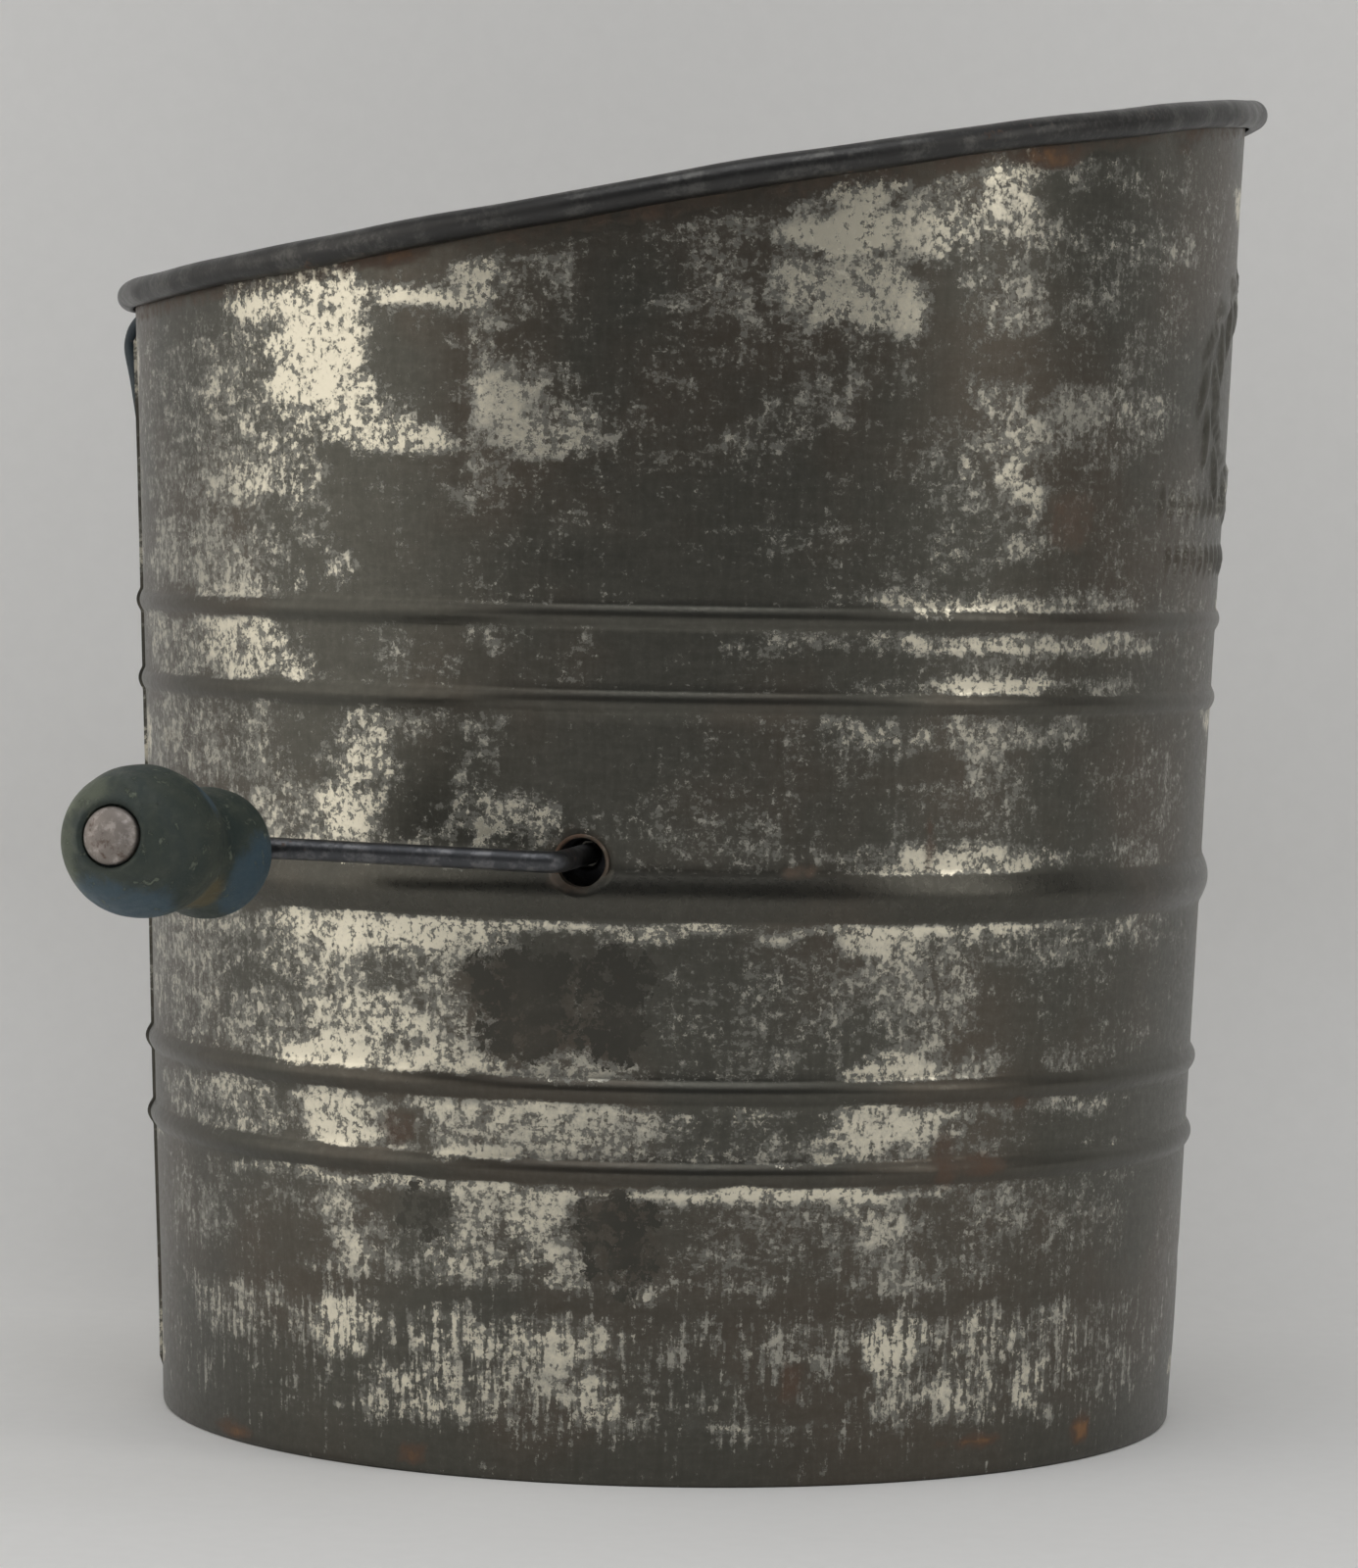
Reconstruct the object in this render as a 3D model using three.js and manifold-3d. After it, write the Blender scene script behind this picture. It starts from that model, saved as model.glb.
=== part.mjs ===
// Tin flour sifter with a slanted scoop mouth, a wire crank and a strap handle.
// Millimetres, +Z up. The crank shaft runs along Y and leaves the front wall towards -Y.
// Every piece is drawn with the body's axis on Z; the last section moves the whole object
// so that the origin is the middle of its footprint.
import * as THREE from 'three';
import { mergeVertices } from 'three/addons/utils/BufferGeometryUtils.js';
import Module from 'manifold-3d';

const wasm = await Module();
wasm.setup();

// ---------------------------------------------------------------- driving dimensions
const GAP = 0.3; // clearance between pieces that touch on the real object

// Body: a tapered tin tube, 127 mm across the base
const BASE_RADIUS = 63.5;
const TAPER = 0.0383; // growth of the radius per millimetre of height
const TIN = 0.5; // sheet thickness
const HEM_HEIGHT = 5; // the base edge is folded inwards once, so it is two sheets thick
const ROUND_STEPS = 48;
const BEADS = [
  { z: 36.4, width: 3.2, rise: 0.7, steps: 3 },
  { z: 45.9, width: 3.2, rise: 0.7, steps: 3 },
  { z: 68.4, width: 6.4, rise: 0.95, steps: 5 },
  { z: 90.8, width: 2.9, rise: 0.5, steps: 3 },
  { z: 100.6, width: 2.9, rise: 0.5, steps: 3 },
];

// Slanted mouth: the rolled edge rises towards the pouring lip
const RIM_HEIGHT = 150.4; // centre of the roll, measured on the body's axis
const RIM_SLOPE = 0.183;
const LIP_ANGLE = THREE.MathUtils.degToRad(14.1); // direction of the highest point, from +X
const ROLL_RADIUS = 1.7;
const ROLL_OUTSET = 0.8; // the roll's centre stands this far outside the wall
const RIM_WIRE_RADIUS = 0.85;

// Side seam: a lap down the shortest side, opposite the lip
const SEAM_WIDTH = 5;
const SEAM_RISE = 0.4;
const SEAM_TOP = 133;

// Crank: one bent steel wire
const SHAFT_HEIGHT = 72.7;
const WIRE_RADIUS = 1.25;
const BEND_RADIUS = 2.6;
const ARM_STANDOFF = 8; // from the wall to the arm's centre line
const ARM_LENGTH = 37.9;
const ARM_RISE = 0.8; // the arm climbs this much from the shaft to the knob
const PIN_DROP = 1.3; // and kinks down again where it turns into the knob pin
const KINK_BEFORE_PIN = 3.7;
const PIN_LEAN_OUT = THREE.MathUtils.degToRad(8.6);
const PIN_LEAN_UP = THREE.MathUtils.degToRad(7);
const FRONT_HOLE_RADIUS = 2.85;
const FRONT_HOLE_SHIFT = 1.2; // the shaft has worn its way to the left side of this hole
const FRONT_HOLE_DROP = 0.4;
const BACK_HOLE_RADIUS = 1.65;
const WASHER_RADIUS = 4;
const WASHER_THICKNESS = 0.8;
const TAIL_HEAD_RADIUS = 2.4;
const TAIL_HEAD_LENGTH = 1.4;

// Knob: turned wood with two lobes; distances run along the pin from the arm's centre line
const KNOB_BACK = 2.6;
const KNOB_FRONT = 33.4;
const CAP_RECESS = 1.3; // depth of the shallow seat that the cap sits in
const KNOB_STATIONS = [
  { at: KNOB_BACK, radius: 5.2 }, // back face
  { at: 4.8, radius: 6.9 },
  { at: 8, radius: 7.45 }, // back lobe
  { at: 15.2, radius: 6.3 }, // waist
  { at: 20.75, radius: 7.9 },
  { at: 26.3, radius: 8.45 }, // front lobe
  { at: 31.6, radius: 6.7 },
  { at: KNOB_FRONT, radius: 4.2 }, // front face
];
const CAP_RADIUS = 3.2;
const CAP_THICKNESS = 1.2;
const CAP_DOME = 0.9;

// Sieve: a bowl of woven wire centred on the shaft, clamped in a tin hoop
const BOWL_RADIUS = 58;
const BOWL_THICKNESS = 0.5;
const BRIM_HEIGHT = 57.9;
const HOOP_RADIUS = 64.9;
const HOOP_HEIGHT = 8;
const CLAMP_INNER_RADIUS = 58.6;
const CLAMP_THICKNESS = 1.2;

// Agitator: four bowed wires between two collars
const BOW_RADIUS = 55.5;
const BOW_WIRE_RADIUS = 0.9;
const BOW_COUNT = 4;
const BOW_STEPS = 22;
const COLLAR_RADIUS = 4;
const COLLAR_LENGTH = 4;

// Handle: a bent strap riveted to the wall behind the seam
const HANDLE_ANGLE = THREE.MathUtils.degToRad(145.4);
const STRAP_WIDTH = 20;
const STRAP_THICKNESS = 1.2;
const UPPER_RIVET_HEIGHT = 131;
const LOWER_RIVET_HEIGHT = 80;
const RIVET_RADIUS = 1.5;
const RIVET_HEAD_RADIUS = 3.2;
const RIVET_HEAD_RISE = 1.3;
const RIVET_TAIL_RADIUS = 2.4;
const RIVET_TAIL_THICKNESS = 0.9;
const UPPER_TAB_FOOT = 125; // the strap's free end under the upper rivet
const UPPER_TAB_TOP = 138;
const LOWER_TAB_TOP = 84.5;
const LOWER_TAB_FOOT = 75;
// Centre line of the grip from its shoulder round to the foot: distance from the axis, height
const GRIP_LINE = [
  [82, 139.3],
  [94.4, 138.4],
  [98.4, 135],
  [97, 129],
  [92.6, 114],
  [85, 98],
  [75, 87.5],
];

// Where the body's axis stands when the origin is the middle of the footprint
const AXIS_X = 7.5;
const AXIS_Y = 18.2;

// ---------------------------------------------------------------- materials
const metal = (color, roughness) => () =>
  new THREE.MeshStandardMaterial({ color, roughness, metalness: 1 });
const tin = metal(0x6f6c62, 0.5);
const darkTin = metal(0x4c4e50, 0.45);
const wire = metal(0x4a4b50, 0.5);
const cloth = metal(0x7a7872, 0.55);
const capMetal = metal(0x8d8482, 0.6);
const paint = (color) => () => new THREE.MeshStandardMaterial({ color, roughness: 0.6, metalness: 0 });
const greenPaint = paint(0x2e4547);
const darkPaint = paint(0x24333a);

// ---------------------------------------------------------------- helpers
const wallRadius = (z) => BASE_RADIUS + TAPER * z;
const point = (r, z) => new THREE.Vector2(r, z);

/** Solid of revolution about Z from a profile of (radius, height), run up the outside. */
function turned(profile, steps = ROUND_STEPS) {
  return new THREE.LatheGeometry(profile, steps).rotateX(Math.PI / 2);
}

/** Closed ring of rectangular section about Z. */
function ring(innerRadius, outerRadius, low, high, steps = ROUND_STEPS) {
  return turned(
    [
      point(innerRadius, low),
      point(outerRadius, low),
      point(outerRadius, high),
      point(innerRadius, high),
      point(innerRadius, low),
    ],
    steps,
  );
}

/** Arc of profile points about (r, z), from one angle to another in degrees. */
function arc(r, z, radius, fromDegrees, toDegrees, steps) {
  const points = [];
  for (let i = 0; i <= steps; i++) {
    const angle = THREE.MathUtils.degToRad(fromDegrees + ((toDegrees - fromDegrees) * i) / steps);
    points.push(point(r + radius * Math.cos(angle), z + radius * Math.sin(angle)));
  }
  return points;
}

/** Cylinder along Y, centred on the given point. */
function pinAlongY(radius, length, x, y, z, sides = 16) {
  return new THREE.CylinderGeometry(radius, radius, length, sides).translate(x, y, z);
}

/** Turns a closed geometry into a solid that can be joined and cut. */
function toSolid(geometry) {
  const bare = geometry.clone();
  bare.deleteAttribute('normal');
  bare.deleteAttribute('uv');
  const merged = mergeVertices(bare, 1e-4);
  return new wasm.Manifold(
    new wasm.Mesh({
      numProp: 3,
      vertProperties: new Float32Array(merged.attributes.position.array),
      triVerts: new Uint32Array(merged.index.array),
    }),
  );
}

function cut(solid, tools) {
  return tools.reduce((rest, tool) => rest.subtract(toSolid(tool)), solid);
}

function toGeometry(solid) {
  const mesh = solid.getMesh();
  const geometry = new THREE.BufferGeometry();
  geometry.setAttribute('position', new THREE.BufferAttribute(mesh.vertProperties, 3));
  geometry.setIndex(new THREE.BufferAttribute(mesh.triVerts, 1));
  geometry.computeVertexNormals();
  return geometry;
}

/** Where the slanted rim plane, lowered by drop, meets a cone outset from the wall. */
function onSlant(angle, outset, drop) {
  const lean = RIM_SLOPE * Math.cos(angle - LIP_ANGLE);
  const z = (RIM_HEIGHT - drop + lean * (BASE_RADIUS + outset)) / (1 - lean * TAPER);
  return { r: wallRadius(z) + outset, z };
}

/** Moves every vertex of a geometry with move(position). */
function mapVertices(geometry, move) {
  const positions = geometry.attributes.position;
  const vertex = new THREE.Vector3();
  for (let i = 0; i < positions.count; i++) {
    vertex.fromBufferAttribute(positions, i);
    move(vertex);
    positions.setXYZ(i, vertex.x, vertex.y, vertex.z);
  }
  return geometry;
}

/**
 * Lays a ring on to the slanted rim line. The ring is drawn with its section's centre at
 * RIM_DRAWING_RADIUS and height 0, wide enough for the section to keep its shape.
 */
const RIM_DRAWING_RADIUS = 1000;
function onRim(geometry) {
  return mapVertices(geometry, (vertex) => {
    const angle = Math.atan2(vertex.y, vertex.x);
    const across = Math.hypot(vertex.x, vertex.y) - RIM_DRAWING_RADIUS;
    const centre = onSlant(angle, ROLL_OUTSET, 0);
    const r = centre.r + across;
    vertex.set(r * Math.cos(angle), r * Math.sin(angle), centre.z + vertex.z);
  });
}

/** Wire path with rounded corners: one row of points per ring of the extruded tube. */
class BentWire extends THREE.Curve {
  constructor(corners, bendRadius, stepsPerBend) {
    super();
    this.rows = [{ place: corners[0], tangent: corners[1].clone().sub(corners[0]).normalize() }];
    for (let i = 1; i < corners.length - 1; i++) {
      const into = corners[i].clone().sub(corners[i - 1]).normalize();
      const away = corners[i + 1].clone().sub(corners[i]).normalize();
      const reach = bendRadius * Math.tan(into.angleTo(away) / 2);
      const bend = new THREE.QuadraticBezierCurve3(
        corners[i].clone().addScaledVector(into, -reach),
        corners[i],
        corners[i].clone().addScaledVector(away, reach),
      );
      for (let k = 0; k <= stepsPerBend; k++) {
        const t = k / stepsPerBend;
        this.rows.push({ place: bend.getPoint(t), tangent: bend.getTangent(t) });
      }
    }
    const last = corners.length - 1;
    this.rows.push({
      place: corners[last],
      tangent: corners[last].clone().sub(corners[last - 1]).normalize(),
    });
  }

  get steps() {
    return this.rows.length - 1;
  }

  getPointAt(u) {
    return this.rows[Math.round(u * this.steps)].place.clone();
  }

  getTangentAt(u) {
    return this.rows[Math.round(u * this.steps)].tangent.clone();
  }
}

/** Half circle about the shaft line, from one collar to the other. */
class Bow extends THREE.Curve {
  constructor(radius, clearAngle) {
    super();
    this.radius = radius;
    this.clearAngle = clearAngle;
  }

  getPoint(t) {
    const angle = this.clearAngle + t * (Math.PI - 2 * this.clearAngle);
    return new THREE.Vector3(this.radius * Math.sin(angle), -this.radius * Math.cos(angle), 0);
  }
}

/** Round tube along a path. */
function tube(path, radius, sides, steps) {
  const section = new THREE.Shape(arc(0, 0, radius, 0, 360 - 360 / sides, sides - 1));
  return new THREE.ExtrudeGeometry(section, { extrudePath: path, steps, bevelEnabled: false });
}

const sifter = new THREE.Group();

function add(name, geometry, material, parent = sifter) {
  const mesh = new THREE.Mesh(geometry, material());
  mesh.name = name;
  parent.add(mesh);
  return mesh;
}

// ---------------------------------------------------------------- body
/** Wall line from one height to another with its raised beads; inset moves it inwards. */
function beadedLine(inset, bottom, top) {
  const line = [point(wallRadius(bottom) - inset, bottom)];
  for (const bead of BEADS) {
    for (let k = 0; k <= bead.steps; k++) {
      const angle = (Math.PI * k) / bead.steps;
      const z = bead.z - (bead.width / 2) * Math.cos(angle);
      line.push(point(wallRadius(z) - inset + bead.rise * Math.sin(angle), z));
    }
  }
  line.push(point(wallRadius(top) - inset, top));
  return line;
}

/** Tapered tube with beads, an inward hem, a lap seam, shaft holes and rivet holes. */
function bodyShell() {
  const drawnTop = 200; // the straight tube is drawn this tall, then its top ring moves to the slant
  const insideFromHem = beadedLine(TIN, HEM_HEIGHT, drawnTop);
  const profile = [
    ...beadedLine(0, 0, drawnTop),
    ...insideFromHem.reverse(),
    point(wallRadius(HEM_HEIGHT) - 2 * TIN, HEM_HEIGHT),
    point(wallRadius(0) - 2 * TIN, 0),
    point(wallRadius(0), 0),
  ];
  const wall = mapVertices(turned(profile), (vertex) => {
    if (vertex.z < drawnTop - 1) return;
    const angle = Math.atan2(vertex.y, vertex.x);
    const outset = Math.hypot(vertex.x, vertex.y) - wallRadius(drawnTop);
    const edge = onSlant(angle, outset, ROLL_RADIUS + GAP / 2);
    vertex.set(edge.r * Math.cos(angle), edge.r * Math.sin(angle), edge.z);
  });

  const lap = turned([
    ...beadedLine(-SEAM_RISE, HEM_HEIGHT, SEAM_TOP),
    ...beadedLine(TIN / 2, HEM_HEIGHT, SEAM_TOP).reverse(),
    point(wallRadius(HEM_HEIGHT) + SEAM_RISE, HEM_HEIGHT),
  ]);
  const seamSide = new THREE.BoxGeometry(20, SEAM_WIDTH, 2 * SEAM_TOP)
    .translate(-BASE_RADIUS, 0, 0)
    .rotateZ(LIP_ANGLE);

  const wallY = wallRadius(SHAFT_HEIGHT);
  const holeLength = 12;
  const frontHoleHeight = SHAFT_HEIGHT - FRONT_HOLE_DROP;
  const holes = [
    pinAlongY(FRONT_HOLE_RADIUS, holeLength, FRONT_HOLE_SHIFT, -wallY, frontHoleHeight, 20),
    pinAlongY(BACK_HOLE_RADIUS, holeLength, 0, wallY, SHAFT_HEIGHT),
    rivetHole(UPPER_RIVET_HEIGHT),
    rivetHole(LOWER_RIVET_HEIGHT),
  ];
  const seamStrip = toSolid(lap).intersect(toSolid(seamSide));
  return toGeometry(cut(toSolid(wall).add(seamStrip), holes));
}

/** The rolled edge: sheet curled round the rim wire, open at its inner lower side. */
function rimRoll() {
  const slotStart = 205; // degrees round the section, from straight outwards
  const slotEnd = 255;
  const outside = arc(RIM_DRAWING_RADIUS, 0, ROLL_RADIUS, slotEnd, slotStart + 360, 9);
  const inside = arc(RIM_DRAWING_RADIUS, 0, ROLL_RADIUS - TIN, slotEnd, slotStart + 360, 7);
  return onRim(turned([...outside, ...inside.reverse(), outside[0]]));
}

function rimWire() {
  const circle = arc(RIM_DRAWING_RADIUS, 0, RIM_WIRE_RADIUS, 0, 360, 6);
  return onRim(turned(circle));
}

// ---------------------------------------------------------------- sieve
/** Radius of a sphere about the shaft centre at a height below it. */
const sphereAt = (radius, z) => Math.sqrt(radius ** 2 - (SHAFT_HEIGHT - z) ** 2);

/** Angle in degrees below the horizontal where a sphere about the shaft centre meets a height. */
const dipAt = (radius, z) => -THREE.MathUtils.radToDeg(Math.asin((SHAFT_HEIGHT - z) / radius));

/** The woven bowl as a thin sheet, with the flat brim that the hoop holds. */
function sieveScreen() {
  const outerRadius = BOWL_RADIUS + BOWL_THICKNESS;
  const brimOuter = HOOP_RADIUS - TIN - GAP;
  const brimTop = BRIM_HEIGHT + BOWL_THICKNESS;
  const steps = 6;
  const underside = arc(0, SHAFT_HEIGHT, outerRadius, -90, dipAt(outerRadius, BRIM_HEIGHT), steps);
  const upperside = arc(0, SHAFT_HEIGHT, BOWL_RADIUS, dipAt(BOWL_RADIUS, brimTop), -90, steps);
  underside[0].x = 0;
  upperside[steps].x = 0;
  return turned([...underside, point(brimOuter, BRIM_HEIGHT), point(brimOuter, brimTop), ...upperside]);
}

/** Angle-section hoop inside the wall: a short cylinder with a flange under the brim. */
function screenHoop() {
  const flangeLow = BRIM_HEIGHT - GAP - TIN;
  const flangeInner = sphereAt(BOWL_RADIUS + BOWL_THICKNESS, flangeLow + TIN) + 2 * GAP;
  return turned([
    point(flangeInner, flangeLow),
    point(HOOP_RADIUS, flangeLow),
    point(HOOP_RADIUS, flangeLow + HOOP_HEIGHT),
    point(HOOP_RADIUS - TIN, flangeLow + HOOP_HEIGHT),
    point(HOOP_RADIUS - TIN, flangeLow + TIN),
    point(flangeInner, flangeLow + TIN),
    point(flangeInner, flangeLow),
  ]);
}

function screenClampRing() {
  const low = BRIM_HEIGHT + BOWL_THICKNESS + GAP;
  return ring(CLAMP_INNER_RADIUS, HOOP_RADIUS - TIN - GAP, low, low + CLAMP_THICKNESS);
}

// ---------------------------------------------------------------- crank and agitator
const armY = -(wallRadius(SHAFT_HEIGHT) + ARM_STANDOFF);
const pinStart = new THREE.Vector3(-ARM_LENGTH, armY, SHAFT_HEIGHT + ARM_RISE - PIN_DROP);
const pinDirection = new THREE.Vector3(
  -Math.sin(PIN_LEAN_OUT) * Math.cos(PIN_LEAN_UP),
  -Math.cos(PIN_LEAN_OUT) * Math.cos(PIN_LEAN_UP),
  Math.sin(PIN_LEAN_UP),
);
const backWallOutside = wallRadius(SHAFT_HEIGHT);
const beadBelowShaft = BEADS[2];
const tailWasherY = backWallOutside + beadBelowShaft.rise + GAP; // it bears on the big bead
const tailHeadY = tailWasherY + WASHER_THICKNESS + GAP;

/** Shaft, arm and knob pin bent from one wire, with an upset head on the back end. */
function crankRod() {
  const headMiddleY = tailHeadY + TAIL_HEAD_LENGTH / 2;
  const kink = new THREE.Vector3(
    -ARM_LENGTH + KINK_BEFORE_PIN,
    armY,
    SHAFT_HEIGHT + ARM_RISE * (1 - KINK_BEFORE_PIN / ARM_LENGTH),
  );
  const corners = [
    new THREE.Vector3(0, headMiddleY, SHAFT_HEIGHT),
    new THREE.Vector3(0, armY, SHAFT_HEIGHT),
    kink,
    pinStart,
    pinStart.clone().addScaledVector(pinDirection, KNOB_FRONT - CAP_RECESS),
  ];
  const path = new BentWire(corners, BEND_RADIUS, 5);
  const rod = toSolid(tube(path, WIRE_RADIUS, 10, path.steps));
  const head = pinAlongY(TAIL_HEAD_RADIUS, TAIL_HEAD_LENGTH, 0, headMiddleY, SHAFT_HEIGHT);
  return toGeometry(rod.add(toSolid(head)));
}

/** Flat washer on the shaft, its low-Y face at y. */
function shaftWasher(y) {
  return ring(WIRE_RADIUS + GAP, WASHER_RADIUS, 0, WASHER_THICKNESS, 20)
    .rotateX(-Math.PI / 2)
    .translate(0, y, SHAFT_HEIGHT);
}

/** Collar on the shaft that holds the bowed wires' ends, centred on y. */
function agitatorCollar(y) {
  return ring(WIRE_RADIUS + GAP, COLLAR_RADIUS, 0, COLLAR_LENGTH, 20)
    .rotateX(-Math.PI / 2)
    .translate(0, y - COLLAR_LENGTH / 2, SHAFT_HEIGHT);
}

/** One bowed wire; turn is its angle round the shaft. */
function agitatorWire(turn) {
  const bow = new Bow(BOW_RADIUS, Math.asin((COLLAR_RADIUS + GAP) / BOW_RADIUS));
  return tube(bow, BOW_WIRE_RADIUS, 6, BOW_STEPS).rotateY(turn).translate(0, 0, SHAFT_HEIGHT);
}

// ---------------------------------------------------------------- knob, drawn along +Z
const BORE_RADIUS = WIRE_RADIUS + GAP;

function knobGrip() {
  const stations = KNOB_STATIONS.map(({ at, radius }) => point(radius, at));
  const outline = new THREE.SplineCurve(stations).getPoints(16);
  const seat = KNOB_FRONT - CAP_RECESS;
  const seatRadius = CAP_RADIUS + GAP;
  return turned(
    [
      point(BORE_RADIUS, KNOB_BACK),
      ...outline,
      point(seatRadius, KNOB_FRONT),
      point(seatRadius, seat),
      point(BORE_RADIUS, seat),
      point(BORE_RADIUS, KNOB_BACK),
    ],
    24,
  );
}

function knobWasher() {
  const behindArm = WIRE_RADIUS + GAP;
  return ring(BORE_RADIUS, WASHER_RADIUS, behindArm, KNOB_BACK - GAP, 20);
}

/** Low dome that closes the knob's front, resting over the end of the pin. */
function knobCap() {
  const back = KNOB_FRONT - CAP_RECESS + GAP;
  return turned(
    [
      point(0, back),
      point(CAP_RADIUS, back),
      point(CAP_RADIUS, back + CAP_THICKNESS),
      point(CAP_RADIUS * 0.7, back + CAP_THICKNESS + CAP_DOME * 0.6),
      point(0, back + CAP_THICKNESS + CAP_DOME),
    ],
    20,
  );
}

// ---------------------------------------------------------------- handle, drawn along +X
/** Sheet strip of even thickness that follows a line of (distance from axis, height). */
function stripOutline(line, thickness) {
  const left = [];
  const right = [];
  line.forEach((here, i) => {
    const before = line[Math.max(i - 1, 0)];
    const after = line[Math.min(i + 1, line.length - 1)];
    const along = after.clone().sub(before).normalize();
    const across = point(-along.y, along.x).multiplyScalar(thickness / 2);
    left.push(here.clone().add(across));
    right.push(here.clone().sub(across));
  });
  return new THREE.Shape([...left, ...right.reverse()]);
}

function rivetHole(height) {
  return new THREE.CylinderGeometry(RIVET_RADIUS + GAP, RIVET_RADIUS + GAP, 12, 12)
    .rotateZ(Math.PI / 2)
    .translate(wallRadius(height), 0, height)
    .rotateZ(HANDLE_ANGLE);
}

/** Distance of the strap's centre line from the axis where it lies flat on the wall. */
const tabLine = (z) => wallRadius(z) + GAP + STRAP_THICKNESS / 2;

/** Strap bent into a grip, with a flat tab at each end that is riveted to the wall. */
function handleStrap() {
  const onWall = (z) => point(tabLine(z), z);
  const shoulder = point(tabLine(UPPER_TAB_TOP) + 3, UPPER_TAB_TOP + 1.6);
  const grip = GRIP_LINE.map(([r, z]) => point(r, z));
  const bends = [onWall(UPPER_TAB_TOP), shoulder, ...grip, onWall(LOWER_TAB_TOP)];
  const loop = new THREE.SplineCurve(bends).getPoints(34);
  const line = [onWall(UPPER_TAB_FOOT), ...loop, onWall(LOWER_TAB_FOOT)];
  const strap = new THREE.ExtrudeGeometry(stripOutline(line, STRAP_THICKNESS), {
    depth: STRAP_WIDTH,
    bevelEnabled: false,
  })
    .translate(0, 0, -STRAP_WIDTH / 2)
    .rotateX(Math.PI / 2)
    .rotateZ(HANDLE_ANGLE);
  const holes = [rivetHole(UPPER_RIVET_HEIGHT), rivetHole(LOWER_RIVET_HEIGHT)];
  return toGeometry(cut(toSolid(strap), holes));
}

/** Domed rivet through strap and wall, headed over on the inside. */
function handleRivet(height) {
  const headFoot = wallRadius(height) + 2 * GAP + STRAP_THICKNESS;
  const tailFoot = wallRadius(height) - TIN - 2 * GAP;
  return turned(
    [
      point(0, tailFoot - RIVET_TAIL_THICKNESS),
      point(RIVET_TAIL_RADIUS, tailFoot - RIVET_TAIL_THICKNESS),
      point(RIVET_TAIL_RADIUS, tailFoot),
      point(RIVET_RADIUS, tailFoot),
      point(RIVET_RADIUS, headFoot),
      point(RIVET_HEAD_RADIUS, headFoot),
      point(RIVET_HEAD_RADIUS * 0.75, headFoot + RIVET_HEAD_RISE * 0.7),
      point(0, headFoot + RIVET_HEAD_RISE),
    ],
    12,
  )
    .rotateY(Math.PI / 2)
    .translate(0, 0, height)
    .rotateZ(HANDLE_ANGLE);
}

// ---------------------------------------------------------------- assembly
add('body_shell', bodyShell(), tin);
add('rim_roll', rimRoll(), darkTin);
add('rim_wire', rimWire(), wire);

add('sieve_screen', sieveScreen(), cloth);
add('screen_hoop', screenHoop(), tin);
add('screen_clamp_ring', screenClampRing(), tin);

add('crank_rod', crankRod(), wire);
add('agitator_collar_front', agitatorCollar(-BOW_RADIUS), wire);
add('agitator_collar_back', agitatorCollar(BOW_RADIUS), wire);
for (let i = 0; i < BOW_COUNT; i++) {
  add(`agitator_wire_${i + 1}`, agitatorWire(((i + 0.5) * 2 * Math.PI) / BOW_COUNT), wire);
}
add('shaft_washer', shaftWasher(backWallOutside - TIN - 2 * GAP - WASHER_THICKNESS), wire);
add('tail_washer', shaftWasher(tailWasherY), wire);

const knob = new THREE.Group();
knob.position.copy(pinStart);
knob.quaternion.setFromUnitVectors(new THREE.Vector3(0, 0, 1), pinDirection);
sifter.add(knob);
add('knob_grip', knobGrip(), greenPaint, knob);
add('knob_washer', knobWasher(), wire, knob);
add('knob_cap', knobCap(), capMetal, knob);

add('handle_strap', handleStrap(), darkPaint);
add('handle_rivet_upper', handleRivet(UPPER_RIVET_HEIGHT), darkPaint);
add('handle_rivet_lower', handleRivet(LOWER_RIVET_HEIGHT), darkPaint);

sifter.position.set(AXIS_X, AXIS_Y, 0);

export default sifter;
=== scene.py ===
"""Looks of the tin flour sifter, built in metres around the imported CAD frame.

Lengths below are millimetres about the body's axis, as in the CAD source. Pieces turn them into
metres in the row frame. Angles called theta are degrees round the wall from the side that faces
the camera, positive to the camera's right.
"""
import math

import bmesh
import bpy
import numpy as np
from mathutils import Matrix, Vector


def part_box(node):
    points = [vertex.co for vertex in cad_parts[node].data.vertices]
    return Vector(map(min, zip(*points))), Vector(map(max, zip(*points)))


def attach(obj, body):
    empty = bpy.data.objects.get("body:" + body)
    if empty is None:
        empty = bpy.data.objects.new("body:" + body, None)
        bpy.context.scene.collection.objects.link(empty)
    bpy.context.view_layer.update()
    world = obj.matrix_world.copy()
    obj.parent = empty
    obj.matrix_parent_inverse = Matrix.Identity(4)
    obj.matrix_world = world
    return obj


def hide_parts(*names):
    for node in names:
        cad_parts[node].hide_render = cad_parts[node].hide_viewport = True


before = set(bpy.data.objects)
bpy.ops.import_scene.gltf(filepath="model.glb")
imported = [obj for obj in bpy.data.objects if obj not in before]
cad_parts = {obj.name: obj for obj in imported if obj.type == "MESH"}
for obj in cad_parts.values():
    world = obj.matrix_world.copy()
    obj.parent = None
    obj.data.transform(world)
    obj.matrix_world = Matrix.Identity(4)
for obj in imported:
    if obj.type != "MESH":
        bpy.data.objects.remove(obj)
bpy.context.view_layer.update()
scene = bpy.context.scene

MM = 0.001
HOOP_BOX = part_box("screen_hoop")
AXIS = np.array([(HOOP_BOX[0].x + HOOP_BOX[1].x) / 2, (HOOP_BOX[0].y + HOOP_BOX[1].y) / 2, 0]) / MM
SEED = 7

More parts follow.
